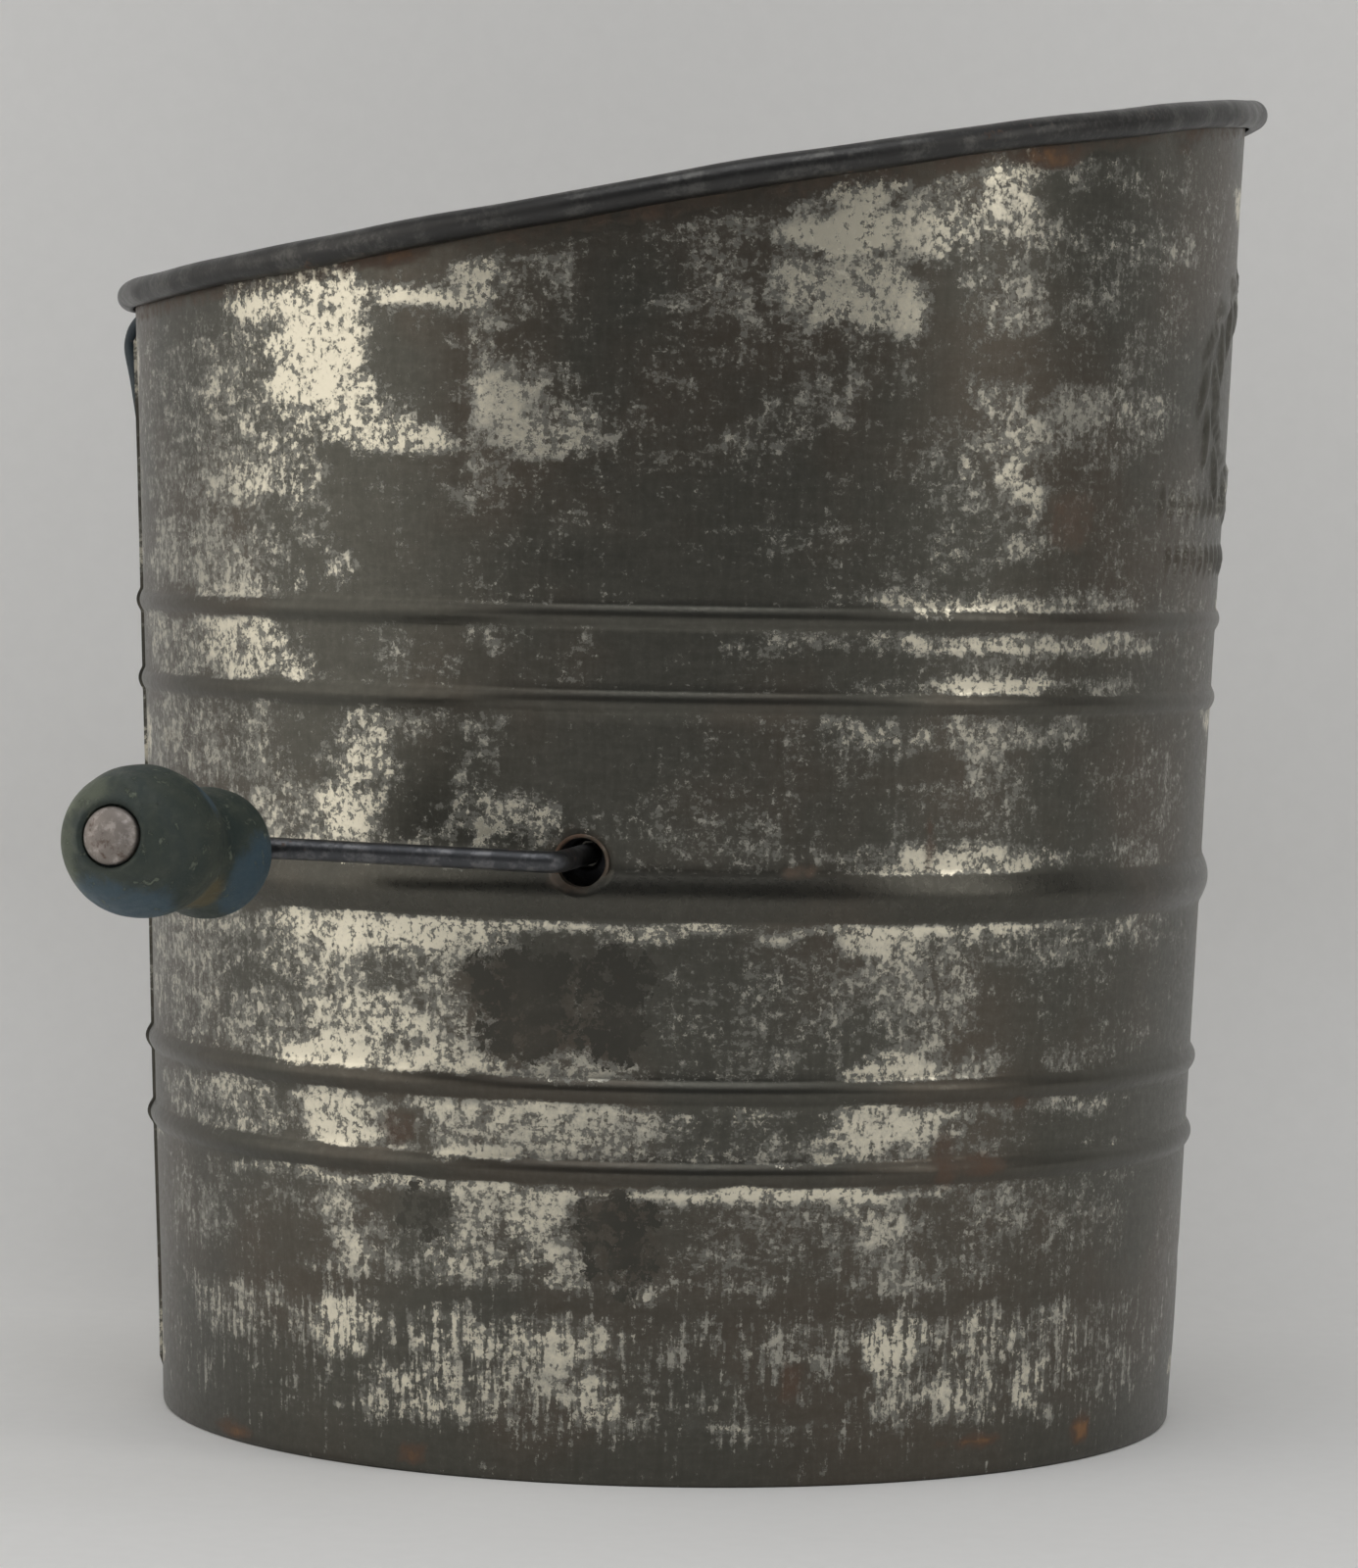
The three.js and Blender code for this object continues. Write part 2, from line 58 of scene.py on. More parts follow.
# ------------------------------------------------------------ sizes shared with the CAD model
BASE_RADIUS = 63.5
TAPER = 0.0383
TIN = 0.5
HEM_HEIGHT = 5
WIDE_BEAD_HEIGHT = 68.4
WIDE_BEAD_RISE = 0.95
BEADS = [  # middle height, width, rise
    (36.4, 3.2, 0.7),
    (45.9, 3.2, 0.7),
    (WIDE_BEAD_HEIGHT, 6.4, WIDE_BEAD_RISE),
    (90.8, 2.9, 0.5),
    (100.6, 2.9, 0.5),
]
RIM_HEIGHT = 150.4
RIM_SLOPE = 0.183
LIP_ANGLE = math.radians(14.1)
ROLL_RADIUS = 1.7
ROLL_OUTSET = 0.8
SEAM_WIDTH = 5
SEAM_RISE = 0.4
SEAM_TOP = 133
SEAM_ANGLE = LIP_ANGLE + math.radians(179.2)
SHAFT_HEIGHT = 72.7
WIRE_RADIUS = 1.25
WIRE_BORE = 1.55  # radius of the holes in the rings and the knob that the wire passes
RING_RADIUS = 4
WASHER = 0.8
RING_GAP = 0.3
ARM_STANDOFF = 8
ARM_LENGTH = 37.9
ARM_RISE = 0.8
PIN_DROP = 1.3
KINK_BEFORE_PIN = 3.7
BEND_RADIUS = 2.6
PIN_LEAN_OUT = math.radians(8.6)
PIN_LEAN_UP = math.radians(7)
FRONT_HOLE = (1.2, 72.3, 2.85)  # x, height, radius
BACK_HOLE = (0, 72.7, 1.65)
KNOB_BACK = 2.6
KNOB_FRONT = 33.4
CAP_RECESS = 1.3
BOWL_RADIUS = 58.25
BRIM_HEIGHT = 58.15
BOW_RADIUS = 55.5
BOW_WIRE_RADIUS = 0.9
HANDLE_ANGLE = math.radians(145.4)
STRAP_WIDTH = 20
STRAP_THICKNESS = 1.2

# ------------------------------------------------------------ camera
CAMERA_AZIMUTH = math.radians(10.4)
CAMERA_DISTANCE = 695.26
CAMERA_HEIGHT = 111.345
CAMERA_PITCH = 0.0473355
CAMERA_YAW = 0.000443
CAMERA_ROLL = 0.0185077
CAMERA_LENS = 126.44


def placed(name, data):
    """A new object in the scene."""
    obj = bpy.data.objects.new(name, data)
    scene.collection.objects.link(obj)
    return obj


def make_camera():
    """Camera at the photograph's viewing angle, from its own pitch, yaw and roll."""
    forward = Vector((
        math.sin(CAMERA_YAW) * math.cos(CAMERA_PITCH),
        math.cos(CAMERA_YAW) * math.cos(CAMERA_PITCH),
        -math.sin(CAMERA_PITCH),
    ))
    level_right = Vector((math.cos(CAMERA_YAW), -math.sin(CAMERA_YAW), 0))
    level_up = level_right.cross(forward)
    right = math.cos(CAMERA_ROLL) * level_right + math.sin(CAMERA_ROLL) * level_up
    up = math.cos(CAMERA_ROLL) * level_up - math.sin(CAMERA_ROLL) * level_right
    axes = Matrix((right, up, -forward)).transposed().to_4x4()
    turn = Matrix.Rotation(CAMERA_AZIMUTH, 4, "Z")
    place = Vector(AXIS) + turn @ Vector((0, -CAMERA_DISTANCE, CAMERA_HEIGHT))
    data = bpy.data.cameras.new("camera")
    data.lens = CAMERA_LENS
    data.clip_start = 0.02
    camera = placed("camera", data)
    camera.matrix_world = Matrix.Translation(place * MM) @ turn @ axes
    scene.camera = camera


make_camera()


# ------------------------------------------------------------ node helpers
class Shader:
    """A new material's node tree, with short calls for the nodes that the finishes use."""

    def __init__(self, name):
        self.material = bpy.data.materials.new(name)
        self.material.use_nodes = True
        self.nodes = self.material.node_tree.nodes
        self.links = self.material.node_tree.links
        self.surface = self.nodes["Principled BSDF"]
        self.place = self.nodes.new("ShaderNodeTexCoord").outputs["Object"]

    def put(self, socket, value):
        """Links an output to a socket, or sets the socket to a number or colour."""
        if isinstance(value, bpy.types.NodeSocket):
            self.links.new(value, socket)
        elif socket.type == "RGBA":
            socket.default_value = (*value, 1)
        else:
            socket.default_value = value

    def set(self, name, value):
        self.put(self.surface.inputs[name], value)

    def stretched(self, x, y, z):
        """Coordinates scaled along each axis; below 1 draws a pattern out."""
        node = self.nodes.new("ShaderNodeMapping")
        node.inputs["Scale"].default_value = (x, y, z)
        self.put(node.inputs["Vector"], self.place)
        return node.outputs["Vector"]

    def noise(self, size, detail=4, roughness=0.55, distortion=0.0, place=None):
        """Fractal noise whose features are about size millimetres."""
        node = self.nodes.new("ShaderNodeTexNoise")
        node.inputs["Scale"].default_value = 1 / (size * MM)
        node.inputs["Detail"].default_value = detail
        node.inputs["Roughness"].default_value = roughness
        node.inputs["Distortion"].default_value = distortion
        self.put(node.inputs["Vector"], place or self.place)
        return node.outputs["Fac"]

    def math(self, operation, a, b=0.0, clamp=False):
        node = self.nodes.new("ShaderNodeMath")
        node.operation = operation
        node.use_clamp = clamp
        self.put(node.inputs[0], a)
        self.put(node.inputs[1], b)
        return node.outputs[0]

    def add(self, *terms):
        total = terms[0]
        for term in terms[1:]:
            total = self.math("ADD", total, term)
        return total

    def times(self, a, b):
        return self.math("MULTIPLY", a, b)

    def step(self, value, low, high, to_low=0.0, to_high=1.0):
        """Smooth step from to_low at low to to_high at high."""
        node = self.nodes.new("ShaderNodeMapRange")
        node.interpolation_type = "SMOOTHSTEP"
        self.put(node.inputs["Value"], value)
        node.inputs["From Min"].default_value = low
        node.inputs["From Max"].default_value = high
        node.inputs["To Min"].default_value = to_low
        node.inputs["To Max"].default_value = to_high
        return node.outputs["Result"]

    def mix(self, share, a, b):
        """Colour a where share is 0 and b where it is 1."""
        node = self.nodes.new("ShaderNodeMix")
        node.data_type = "RGBA"
        self.put(node.inputs[0], share)
        self.put(node.inputs[6], a)
        self.put(node.inputs[7], b)
        return node.outputs[2]

    def near(self, point, inner, outer):
        """1 within inner millimetres of a point in the row frame, falling to 0 at outer."""
        node = self.nodes.new("ShaderNodeVectorMath")
        node.operation = "DISTANCE"
        self.put(node.inputs[0], self.place)
        node.inputs[1].default_value = tuple(np.asarray(point) * MM)
        return self.step(node.outputs["Value"], inner * MM, outer * MM, 1.0, 0.0)

    def height(self):
        """Height above the floor in metres."""
        node = self.nodes.new("ShaderNodeSeparateXYZ")
        self.put(node.inputs[0], self.place)
        return node.outputs["Z"]

    def attribute(self, name):
        """The four channels of a colour stored on the mesh."""
        read = self.nodes.new("ShaderNodeAttribute")
        read.attribute_name = name
        split = self.nodes.new("ShaderNodeSeparateColor")
        self.put(split.inputs["Color"], read.outputs["Color"])
        return split.outputs[0], split.outputs[1], split.outputs[2], read.outputs["Alpha"]

    def bump(self, height, millimetres):
        node = self.nodes.new("ShaderNodeBump")
        node.inputs["Distance"].default_value = millimetres * MM
        self.put(node.inputs["Height"], height)
        self.set("Normal", node.outputs["Normal"])


# ------------------------------------------------------------ finishes
DARK_OLIVE = (0.094, 0.091, 0.077)
DARK_BROWN = (0.108, 0.092, 0.074)
GRIME = (0.073, 0.070, 0.060)
SCRATCH = (0.22, 0.21, 0.18)
WORN_OXIDE = (0.185, 0.18, 0.155)
GREY_HAZE = (0.27, 0.265, 0.235)
# painted light: the dull and the bright tin below are also a shaded and a lit copy of the tin flecks,
# chosen by a tin amount that is high where the lamps' highlights fall
SHADED_DULL_TIN = (0.40, 0.385, 0.335)
LIT_BRIGHT_TIN = (0.82, 0.765, 0.62)
RUST_BROWN = (0.115, 0.068, 0.042)
RUST_ORANGE = (0.30, 0.145, 0.055)


def wall_radius(z):
    """Radius of the plain tapered wall at a height."""
    return BASE_RADIUS + TAPER * z


HOLE_X, HOLE_HEIGHT, HOLE_RADIUS = FRONT_HOLE
HOLE_MIDDLE = AXIS + (HOLE_X, -wall_radius(HOLE_HEIGHT), HOLE_HEIGHT)

WALL_AT_SHAFT = wall_radius(SHAFT_HEIGHT)
ARM_Y = -(WALL_AT_SHAFT + ARM_STANDOFF)
PIN_START = np.array([-ARM_LENGTH, ARM_Y, SHAFT_HEIGHT + ARM_RISE - PIN_DROP])
PIN_DIRECTION = np.array([
    -math.sin(PIN_LEAN_OUT) * math.cos(PIN_LEAN_UP),
    -math.cos(PIN_LEAN_OUT) * math.cos(PIN_LEAN_UP),
    math.sin(PIN_LEAN_UP),
])
TAIL_HEAD_Y = WALL_AT_SHAFT + WIDE_BEAD_RISE + RING_GAP + WASHER + RING_GAP


def tin_plate():
    """Old tin plate: dark oxide with flecks of bright tin, haze and rust, led by the wear map, whose tin
    amount also paints highlight: the flecks are brighter where the lamps' highlights fall.
    """
    s = Shader("worn_tin_plate")
    tin_and_highlight, rust, smooth, bare = s.attribute("wear")
    fine = s.noise(0.95, 8, 0.76, 0.12)
    specks = s.noise(0.8, 8, 0.76, 0.12, s.stretched(0.93, 1.07, 1.11))
    pits = s.noise(2.6, 8, 0.76, 0.25)
    medium = s.noise(6.5, 5, 0.62, 0.5)
    grain_up = s.noise(0.8, 5, 0.6, 0.1, s.stretched(1, 1, 0.14))
    grain_round = s.noise(0.9, 5, 0.6, 0.1, s.stretched(0.2, 0.2, 1))
    large = s.noise(28, 3, 0.5)
    foot = s.step(s.height(), 0.018, 0.030, 2.4, 0.0)

    # bare places with ragged edges, then where tin is left between them
    edge_noise = s.add(s.times(pits, 7.0), s.times(fine, 2.5), -4.75)
    bare = s.step(s.add(bare, s.times(edge_noise, s.step(bare, 0.02, 0.25))), 0.42, 0.52)
    patches = s.add(
        tin_and_highlight,
        s.times(medium, 0.9),
        s.times(large, 0.9),
        s.times(pits, 1.8),
        s.times(foot, -0.05),
        s.times(smooth, -0.8),
        s.times(bare, -2.0),
        -1.8,
    )

    # bright and dull flecks, drawn out along the grain and upright near the foot
    brushed = s.add(s.times(grain_up, 0.7), s.times(grain_round, 0.7), -0.7)
    brushed = s.add(brushed, s.times(foot, s.add(grain_up, -0.5)))
    bright = s.step(s.add(patches, brushed, s.times(fine, 3.8), -2.56), 0.0, 0.09)
    dull = s.step(s.add(patches, brushed, s.times(specks, 3.6), -2.24), 0.0, 0.14, 0.0, 0.7)
    haze = s.step(patches, 0.05, 1.0, 0.0, 0.36)
    # painted highlight: the flecks' tone follows the tin amount, so flecks in the lamps' highlight
    # columns are painted bright and flecks between them dull
    tin_tone_and_highlight = s.step(s.add(s.times(tin_and_highlight, 0.8), s.times(pits, 0.8), s.times(fine, 0.6)), 1.02, 1.50)

    oxide = s.mix(s.step(large, 0.4, 0.62), DARK_OLIVE, DARK_BROWN)
    streaks = s.step(s.add(grain_up, grain_round), 0.75, 1.25)
    oxide = s.mix(s.times(streaks, 0.14), oxide, SCRATCH)
    oxide = s.mix(s.step(fine, 0.45, 0.72, 0.0, 0.30), oxide, WORN_OXIDE)
    grimy = s.add(s.times(smooth, 0.7), s.times(bare, 0.95), s.step(s.height(), 0, 0.034, 0.10, 0.0))
    oxide = s.mix(s.math("MULTIPLY", grimy, s.step(medium, 0.3, 0.6, 0.55, 1.0), True), oxide, GRIME)
    metal = s.mix(haze, oxide, GREY_HAZE)
    metal = s.mix(dull, metal, GREY_HAZE)
    metal = s.mix(bright, metal, s.mix(tin_tone_and_highlight, SHADED_DULL_TIN, LIT_BRIGHT_TIN))

    ring = s.near(HOLE_MIDDLE + (-0.5, 0, 0.5), HOLE_RADIUS + 0.3, HOLE_RADIUS + 2.4)
    scatter = s.noise(1.6, 6, 0.65)
    bloom = s.add(rust, s.times(ring, 0.42), s.times(scatter, 0.9), s.times(medium, 0.8), -0.85)
    rusty = s.step(bloom, 0.22, 0.80)
    orange = s.step(bloom, 0.72, 1.25)
    stain = s.mix(orange, RUST_BROWN, RUST_ORANGE)
    s.set("Base Color", s.mix(s.times(rusty, 0.78), metal, stain))
    s.set("Metallic", s.step(rusty, 0.0, 1.0, 0.95, 0.25))
    shine = s.add(s.step(fine, 0.3, 0.7, 0.41, 0.31), s.times(rusty, 0.35))
    s.set("Roughness", s.math("SUBTRACT", shine, s.add(s.times(bright, 0.03), s.times(smooth, 0.07))))
    lip = s.near(HOLE_MIDDLE, HOLE_RADIUS, HOLE_RADIUS + 1.3)
    flakes = s.add(s.times(bright, 0.4), s.times(dull, 0.4), s.times(rusty, 0.6))
    s.bump(s.add(flakes, s.times(fine, 0.7), s.times(lip, -6.0)), 0.05)
    return s.material


def dark_steel(name, colour, worn, roughness, rust=0.0, size=2.5):
    """Bare metal gone dark, lighter where it is rubbed, with a little rust."""
    s = Shader(name)
    cloud = s.noise(size, 5, 0.6, 0.3)
    grain = s.noise(0.5, 6, 0.65)
    rubbed = s.step(s.add(cloud, s.times(grain, 0.6)), 0.76, 0.98)
    metal = s.mix(rubbed, colour, worn)
    patch = s.step(s.add(s.noise(7, 5, 0.65, 0.6), s.times(grain, 0.5), rust), 0.92, 1.06)
    s.set("Base Color", s.mix(s.times(patch, 0.8), metal, (0.13, 0.07, 0.042)))
    s.set("Metallic", s.step(patch, 0, 1, 0.95, 0.3))
    shine = s.step(cloud, 0.3, 0.7, roughness + 0.08, roughness - 0.06)
    s.set("Roughness", s.add(shine, s.times(patch, 0.3)))
    s.bump(s.add(grain, s.times(patch, 0.8)), 0.04)
    return s.material


def knob_place(along, right, up):
    """A point on the knob: millimetres along the pin, then off it to the right and up."""
    return AXIS + PIN_START + PIN_DIRECTION * along + np.array([right, 0, up])


def knob_paint():
    """Old green paint on wood, rubbed through to blue and ochre coats and to lighter chips, with a
    painted highlight on its left and upper left.
    """
    s = Shader("knob_paint")
    cloud = s.noise(9, 4, 0.6, 0.6)
    fine = s.noise(1.1, 7, 0.68, 0.3)
    brush = s.noise(1.0, 4, 0.6, 0.1, s.stretched(1, 0.18, 1))
    edges = s.add(s.times(s.noise(4, 6, 0.68, 0.4), 1.6), s.times(fine, 0.5), -1.05)

    def zone(along, right, up, inner, outer):
        """A soft area round a point, with a ragged edge."""
        return s.step(s.add(s.near(knob_place(along, right, up), inner, outer), edges), 0.30, 0.85)

    body = s.mix(s.step(cloud, 0.38, 0.62), (0.026, 0.040, 0.036), (0.046, 0.058, 0.046))
    body = s.mix(s.step(brush, 0.45, 0.75, 0, 0.45), body, (0.085, 0.098, 0.074))
    # painted highlight: the lighter zones at the knob's left and upper left, which face the left lamp,
    # are partly rubbed paint and partly painted light
    rubbed = s.add(zone(28, -8.5, -1, 3, 9), zone(31, -4, 5, 0, 6))
    body = s.mix(s.times(rubbed, 0.55), body, (0.150, 0.170, 0.115))
    blue = s.add(zone(29, 0, -7.5, 3, 8.5), zone(9, 7, -3.5, 3, 9), zone(22, 7, 6, 0, 5))
    body = s.mix(s.times(blue, 0.60), body, (0.055, 0.105, 0.150))
    ochre = s.add(zone(18, 3, -6.5, 2.5, 7), zone(14, -6, 2, 0, 5))
    body = s.mix(s.times(ochre, 0.55), body, (0.150, 0.110, 0.045))
    chips = s.step(s.add(s.noise(2.2, 6, 0.7, 0.5), s.times(fine, 0.8)), 1.02, 1.10)
    s.set("Base Color", s.mix(s.times(chips, 0.6), body, (0.21, 0.24, 0.18)))
    s.set("Roughness", s.step(fine, 0.3, 0.75, 0.48, 0.68))
    s.surface.inputs["Specular IOR Level"].default_value = 0.45
    s.bump(s.add(fine, s.times(brush, 0.5), s.times(chips, -0.8)), 0.12)
    return s.material


def strap_paint():
    """Dark blue-black enamel, dull, rubbed to steel in places."""
    s = Shader("strap_paint")
    fine = s.noise(1.2, 7, 0.68, 0.5)
    cloud = s.noise(12, 4, 0.6, 0.4)
    enamel = s.mix(s.step(cloud, 0.4, 0.6), (0.012, 0.024, 0.034), (0.030, 0.046, 0.050))
    bare = s.step(s.add(s.noise(3.5, 6, 0.7, 0.7), s.times(fine, 0.7)), 0.98, 1.05)
    s.set("Base Color", s.mix(s.times(bare, 0.85), enamel, (0.21, 0.17, 0.14)))
    s.set("Metallic", s.times(bare, 0.6))
    s.set("Roughness", s.step(fine, 0.3, 0.7, 0.42, 0.60))
    s.bump(s.add(fine, s.times(bare, -0.8)), 0.08)
    return s.material


def paper(name, colour):
    """Pale studio paper with the faintest fibre, seen only from its front."""
    s = Shader(name)
    fibre = s.noise(3, 5, 0.6)
    s.set("Base Color", s.mix(s.step(fibre, 0.3, 0.7), colour, tuple(c * 0.985 for c in colour)))
    s.set("Roughness", 0.9)
    s.surface.inputs["Specular IOR Level"].default_value = 0.2
    s.bump(fibre, 0.03)
    geometry = s.nodes.new("ShaderNodeNewGeometry")
    clear = s.nodes.new("ShaderNodeBsdfTransparent")
    one_sided = s.nodes.new("ShaderNodeMixShader")
    s.put(one_sided.inputs[0], geometry.outputs["Backfacing"])
    s.put(one_sided.inputs[1], s.surface.outputs["BSDF"])
    s.put(one_sided.inputs[2], clear.outputs["BSDF"])
    s.put(s.nodes["Material Output"].inputs["Surface"], one_sided.outputs["Shader"])
    return s.material


TIN_PLATE = tin_plate()
RIM_STEEL = dark_steel("rim_steel", (0.060, 0.059, 0.058), (0.100, 0.098, 0.093), 0.36, rust=0.03, size=5)
WIRE_STEEL = dark_steel("wire_steel", (0.080, 0.082, 0.088), (0.15, 0.15, 0.155), 0.38, rust=0.05)
CLOTH_STEEL = dark_steel("screen_wire", (0.27, 0.265, 0.25), (0.5, 0.49, 0.45), 0.40, rust=-0.05)
LIP_STEEL = dark_steel("lip_steel", (0.14, 0.115, 0.09), (0.22, 0.19, 0.155), 0.5, rust=0.25, size=2)
INNER_TIN = dark_steel("inner_tin", (0.27, 0.26, 0.23), (0.55, 0.52, 0.44), 0.38, size=4)
CAP_METAL = dark_steel("cap_metal", (0.33, 0.295, 0.27), (0.52, 0.47, 0.44), 0.60, rust=0.06, size=1.6)
KNOB_PAINT = knob_paint()
STRAP_PAINT = strap_paint()
PAPER = paper("studio_paper", (0.93, 0.925, 0.915))


# ------------------------------------------------------------ mesh helpers
def grid_faces(rows, columns, wrap_rows=False, wrap_columns=True):
    """Quads over a grid of points stored row by row."""
    faces = []
    for i in range(rows if wrap_rows else rows - 1):
        here, above = i * columns, ((i + 1) % rows) * columns
        for j in range(columns if wrap_columns else columns - 1):
            k = (j + 1) % columns
            faces.append((here + j, here + k, above + k, above + j))
    return faces


def capped_faces(rows, columns):
    """Quads over rings of points, with a face over the first ring and one over the last."""
    faces = grid_faces(rows, columns)
    faces.append(tuple(range(columns))[::-1])
    faces.append(tuple(range((rows - 1) * columns, rows * columns)))
    return faces


def piece(name, points, faces, body, material, slot, replaced=(), sharp=40):
    """A closed mesh in the row frame that rides on a body and stands for CAD nodes."""
    mesh = bpy.data.meshes.new(name)
    mesh.from_pydata(((np.asarray(points, float) + AXIS) * MM).tolist(), [], faces)
    work = bmesh.new()
    work.from_mesh(mesh)
    bmesh.ops.recalc_face_normals(work, faces=work.faces)
    work.to_mesh(mesh)
    work.free()
    mesh.shade_smooth()
    mesh.set_sharp_from_angle(angle=math.radians(sharp))
    mesh.materials.append(material)
    obj = placed(name, mesh)
    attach(obj, body)
    if replaced:
        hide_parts(*replaced)
    return obj


def turned(profile, steps=96):
    """Points and faces of a closed (radius, height) loop turned about Z."""
    profile = np.asarray(profile, float)
    angles = np.arange(steps) * 2 * math.pi / steps
    r, z = profile[:, :1], profile[:, 1:]
    points = np.stack([r * np.cos(angles), r * np.sin(angles), z + 0 * angles], -1)
    return points.reshape(-1, 3), grid_faces(len(profile), steps, wrap_rows=True)


def rounded(loop, radius, steps=3):
    """A closed (radius, height) loop with its corners rounded."""
    loop = np.asarray(loop, float)
    result = []
    for i, corner in enumerate(loop):
        before = loop[i - 1] - corner
        after = loop[(i + 1) % len(loop)] - corner
        reach = min(radius, np.hypot(*before) / 2.2, np.hypot(*after) / 2.2)
        start = corner + before / np.hypot(*before) * reach
        end = corner + after / np.hypot(*after) * reach
        for k in range(steps + 1):
            t = k / steps
            result.append((1 - t) ** 2 * start + 2 * t * (1 - t) * corner + t**2 * end)
    return np.array(result)


def flat_ring(inner, outer, low, high, corner):
    """A closed (radius, height) loop of a flat ring with rounded corners."""
    return rounded([(inner, low), (outer, low), (outer, high), (inner, high)], corner)


def bent_path(corners, bend, steps=10):
    """A line through corners with each corner rounded."""
    corners = [np.asarray(c, float) for c in corners]
    line = [corners[0]]
    for before, corner, after in zip(corners, corners[1:], corners[2:]):
        into = (corner - before) / np.linalg.norm(corner - before)
        away = (after - corner) / np.linalg.norm(after - corner)
        reach = bend * math.tan(math.acos(np.clip(into @ away, -1, 1)) / 2)
        for k in range(steps + 1):
            t = k / steps
            line.append(corner - into * reach * (1 - t) ** 2 + away * reach * t**2)
    line.append(corners[-1])
    return np.array(line)


def tube(path, radius, sides=16, end_round=0.25):
    """Points and faces of a round wire with slightly rounded, closed ends."""
    path = np.asarray(path, float)
    tangents = np.gradient(path, axis=0)
    tangents /= np.linalg.norm(tangents, axis=1)[:, None]
    side = np.cross(tangents[0], (0.3, 0.2, 0.93))  # a direction that no wire here runs along
    rings = []
    angles = np.arange(sides) * 2 * math.pi / sides
    for place, tangent in zip(path, tangents):
        side = side - tangent * (side @ tangent)
        side /= np.linalg.norm(side)
        other = np.cross(tangent, side)
        ring = np.outer(np.cos(angles), side) + np.outer(np.sin(angles), other)
        rings.append(place + radius * ring)
    first = path[0] + (rings[0] - path[0]) * (1 - end_round)
    last = path[-1] + (rings[-1] - path[-1]) * (1 - end_round)
    rings[0] = rings[0] + tangents[0] * radius * end_round
    rings[-1] = rings[-1] - tangents[-1] * radius * end_round
    rings = [first, *rings, last]
    return np.concatenate(rings), capped_faces(len(rings), sides)


def merged(*parts):
    """Several (points, faces) shapes as one."""
    points, faces, count = [], [], 0
    for part_points, part_faces in parts:
        points.append(np.asarray(part_points, float))
        faces += [tuple(v + count for v in face) for face in part_faces]
        count += len(part_points)
    return np.concatenate(points), faces


def turn_to(direction, points):
    """Points drawn about +Z, turned so that +Z points along direction."""
    matrix = np.array(Vector((0, 0, 1)).rotation_difference(Vector(direction)).to_matrix())
    return np.asarray(points) @ matrix.T


# ------------------------------------------------------------ shape of the wall
def camera_theta(angle):
    """Angle round the axis, in radians, as theta in degrees."""
    theta = np.degrees(angle) + 90 - math.degrees(CAMERA_AZIMUTH)
    return (theta + 180) % 360 - 180


def rim_place(angle, outset):
    """Radius and height of the slanted rim's centre line, on a cone outset from the wall."""
    lean = RIM_SLOPE * np.cos(angle - LIP_ANGLE)
    z = (RIM_HEIGHT + lean * (BASE_RADIUS + outset)) / (1 - lean * TAPER)
    return wall_radius(z) + outset, z


def bead_rise(z):
    """Height of the rolled beads above the plain wall."""
    rise = np.zeros_like(z)
    for middle, width, height in BEADS:
        away = np.clip(np.abs(z - middle) / (width * 0.5), 0, 1)
        rise += height * (1 - away**2) ** 1.25
    return rise


def smooth_step(low, high, value):
    """Rises from 0 at low to 1 at high without corners."""
    t = np.clip((value - low) / (high - low), 0, 1)
    return t * t * (3 - 2 * t)


def hand_wobble(angle, z):
    """The slight waves of rolled sheet, so that its reflections aren't perfect."""
    wave = 0.10 * np.sin(3 * angle + 0.9) * np.sin(z / 31 + 0.4)
    wave += 0.07 * np.sin(7 * angle + z / 17)
    wave += 0.035 * np.sin(16 * angle - z / 9 + 1.3)
    return wave * smooth_step(0, 12, z)


def creases(theta, z):
    """Handling dents: an upright crease, a shallow dish, and a groove near the base."""
    line = -0.16 * np.exp(-(((theta + 21 + (z - 120) * 0.05) / 0.75) ** 2) - ((z - 120) / 9) ** 2)
    dish = -0.12 * np.exp(-(((theta + 10) / 5) ** 2) - ((z - 109) / 2.4) ** 2)
    groove = -0.09 * np.exp(-(((z - 21) / 1.1) ** 2)) * smooth_step(-75, -60, theta)
    under_rim = -0.35 * np.exp(-(((theta - 56) / 3.2) ** 2) - ((z - 157) / 1.6) ** 2)
    return line + dish + groove + under_rim


# Pressed ornament at the camera's right: a wreath of leaves above two rows of small grains
WREATH_MIDDLE = (86, 128.5)
WREATH_REACH = (16.5, 12.0)  # degrees round the wall, millimetres up
WREATH_LEAVES = 15
EMBOSS_RISE = 0.5
DEGREE_AT_ORNAMENT = 1.18  # millimetres round the wall
GRAIN_ROWS = [(114.6, 58, 12), (108.2, 60, 11)]  # height, first theta, count


def grain_mark(theta, z, at_theta, at_z, half_long, half_wide, slant):
    """One raised almond shape on the wall; slant is its angle from level."""
    across = (theta - at_theta) * DEGREE_AT_ORNAMENT
    up = z - at_z
    along = across * math.cos(slant) + up * math.sin(slant)
    beside = -across * math.sin(slant) + up * math.cos(slant)
    return np.clip(1 - (along / half_long) ** 2 - (beside / half_wide) ** 2, 0, 1)


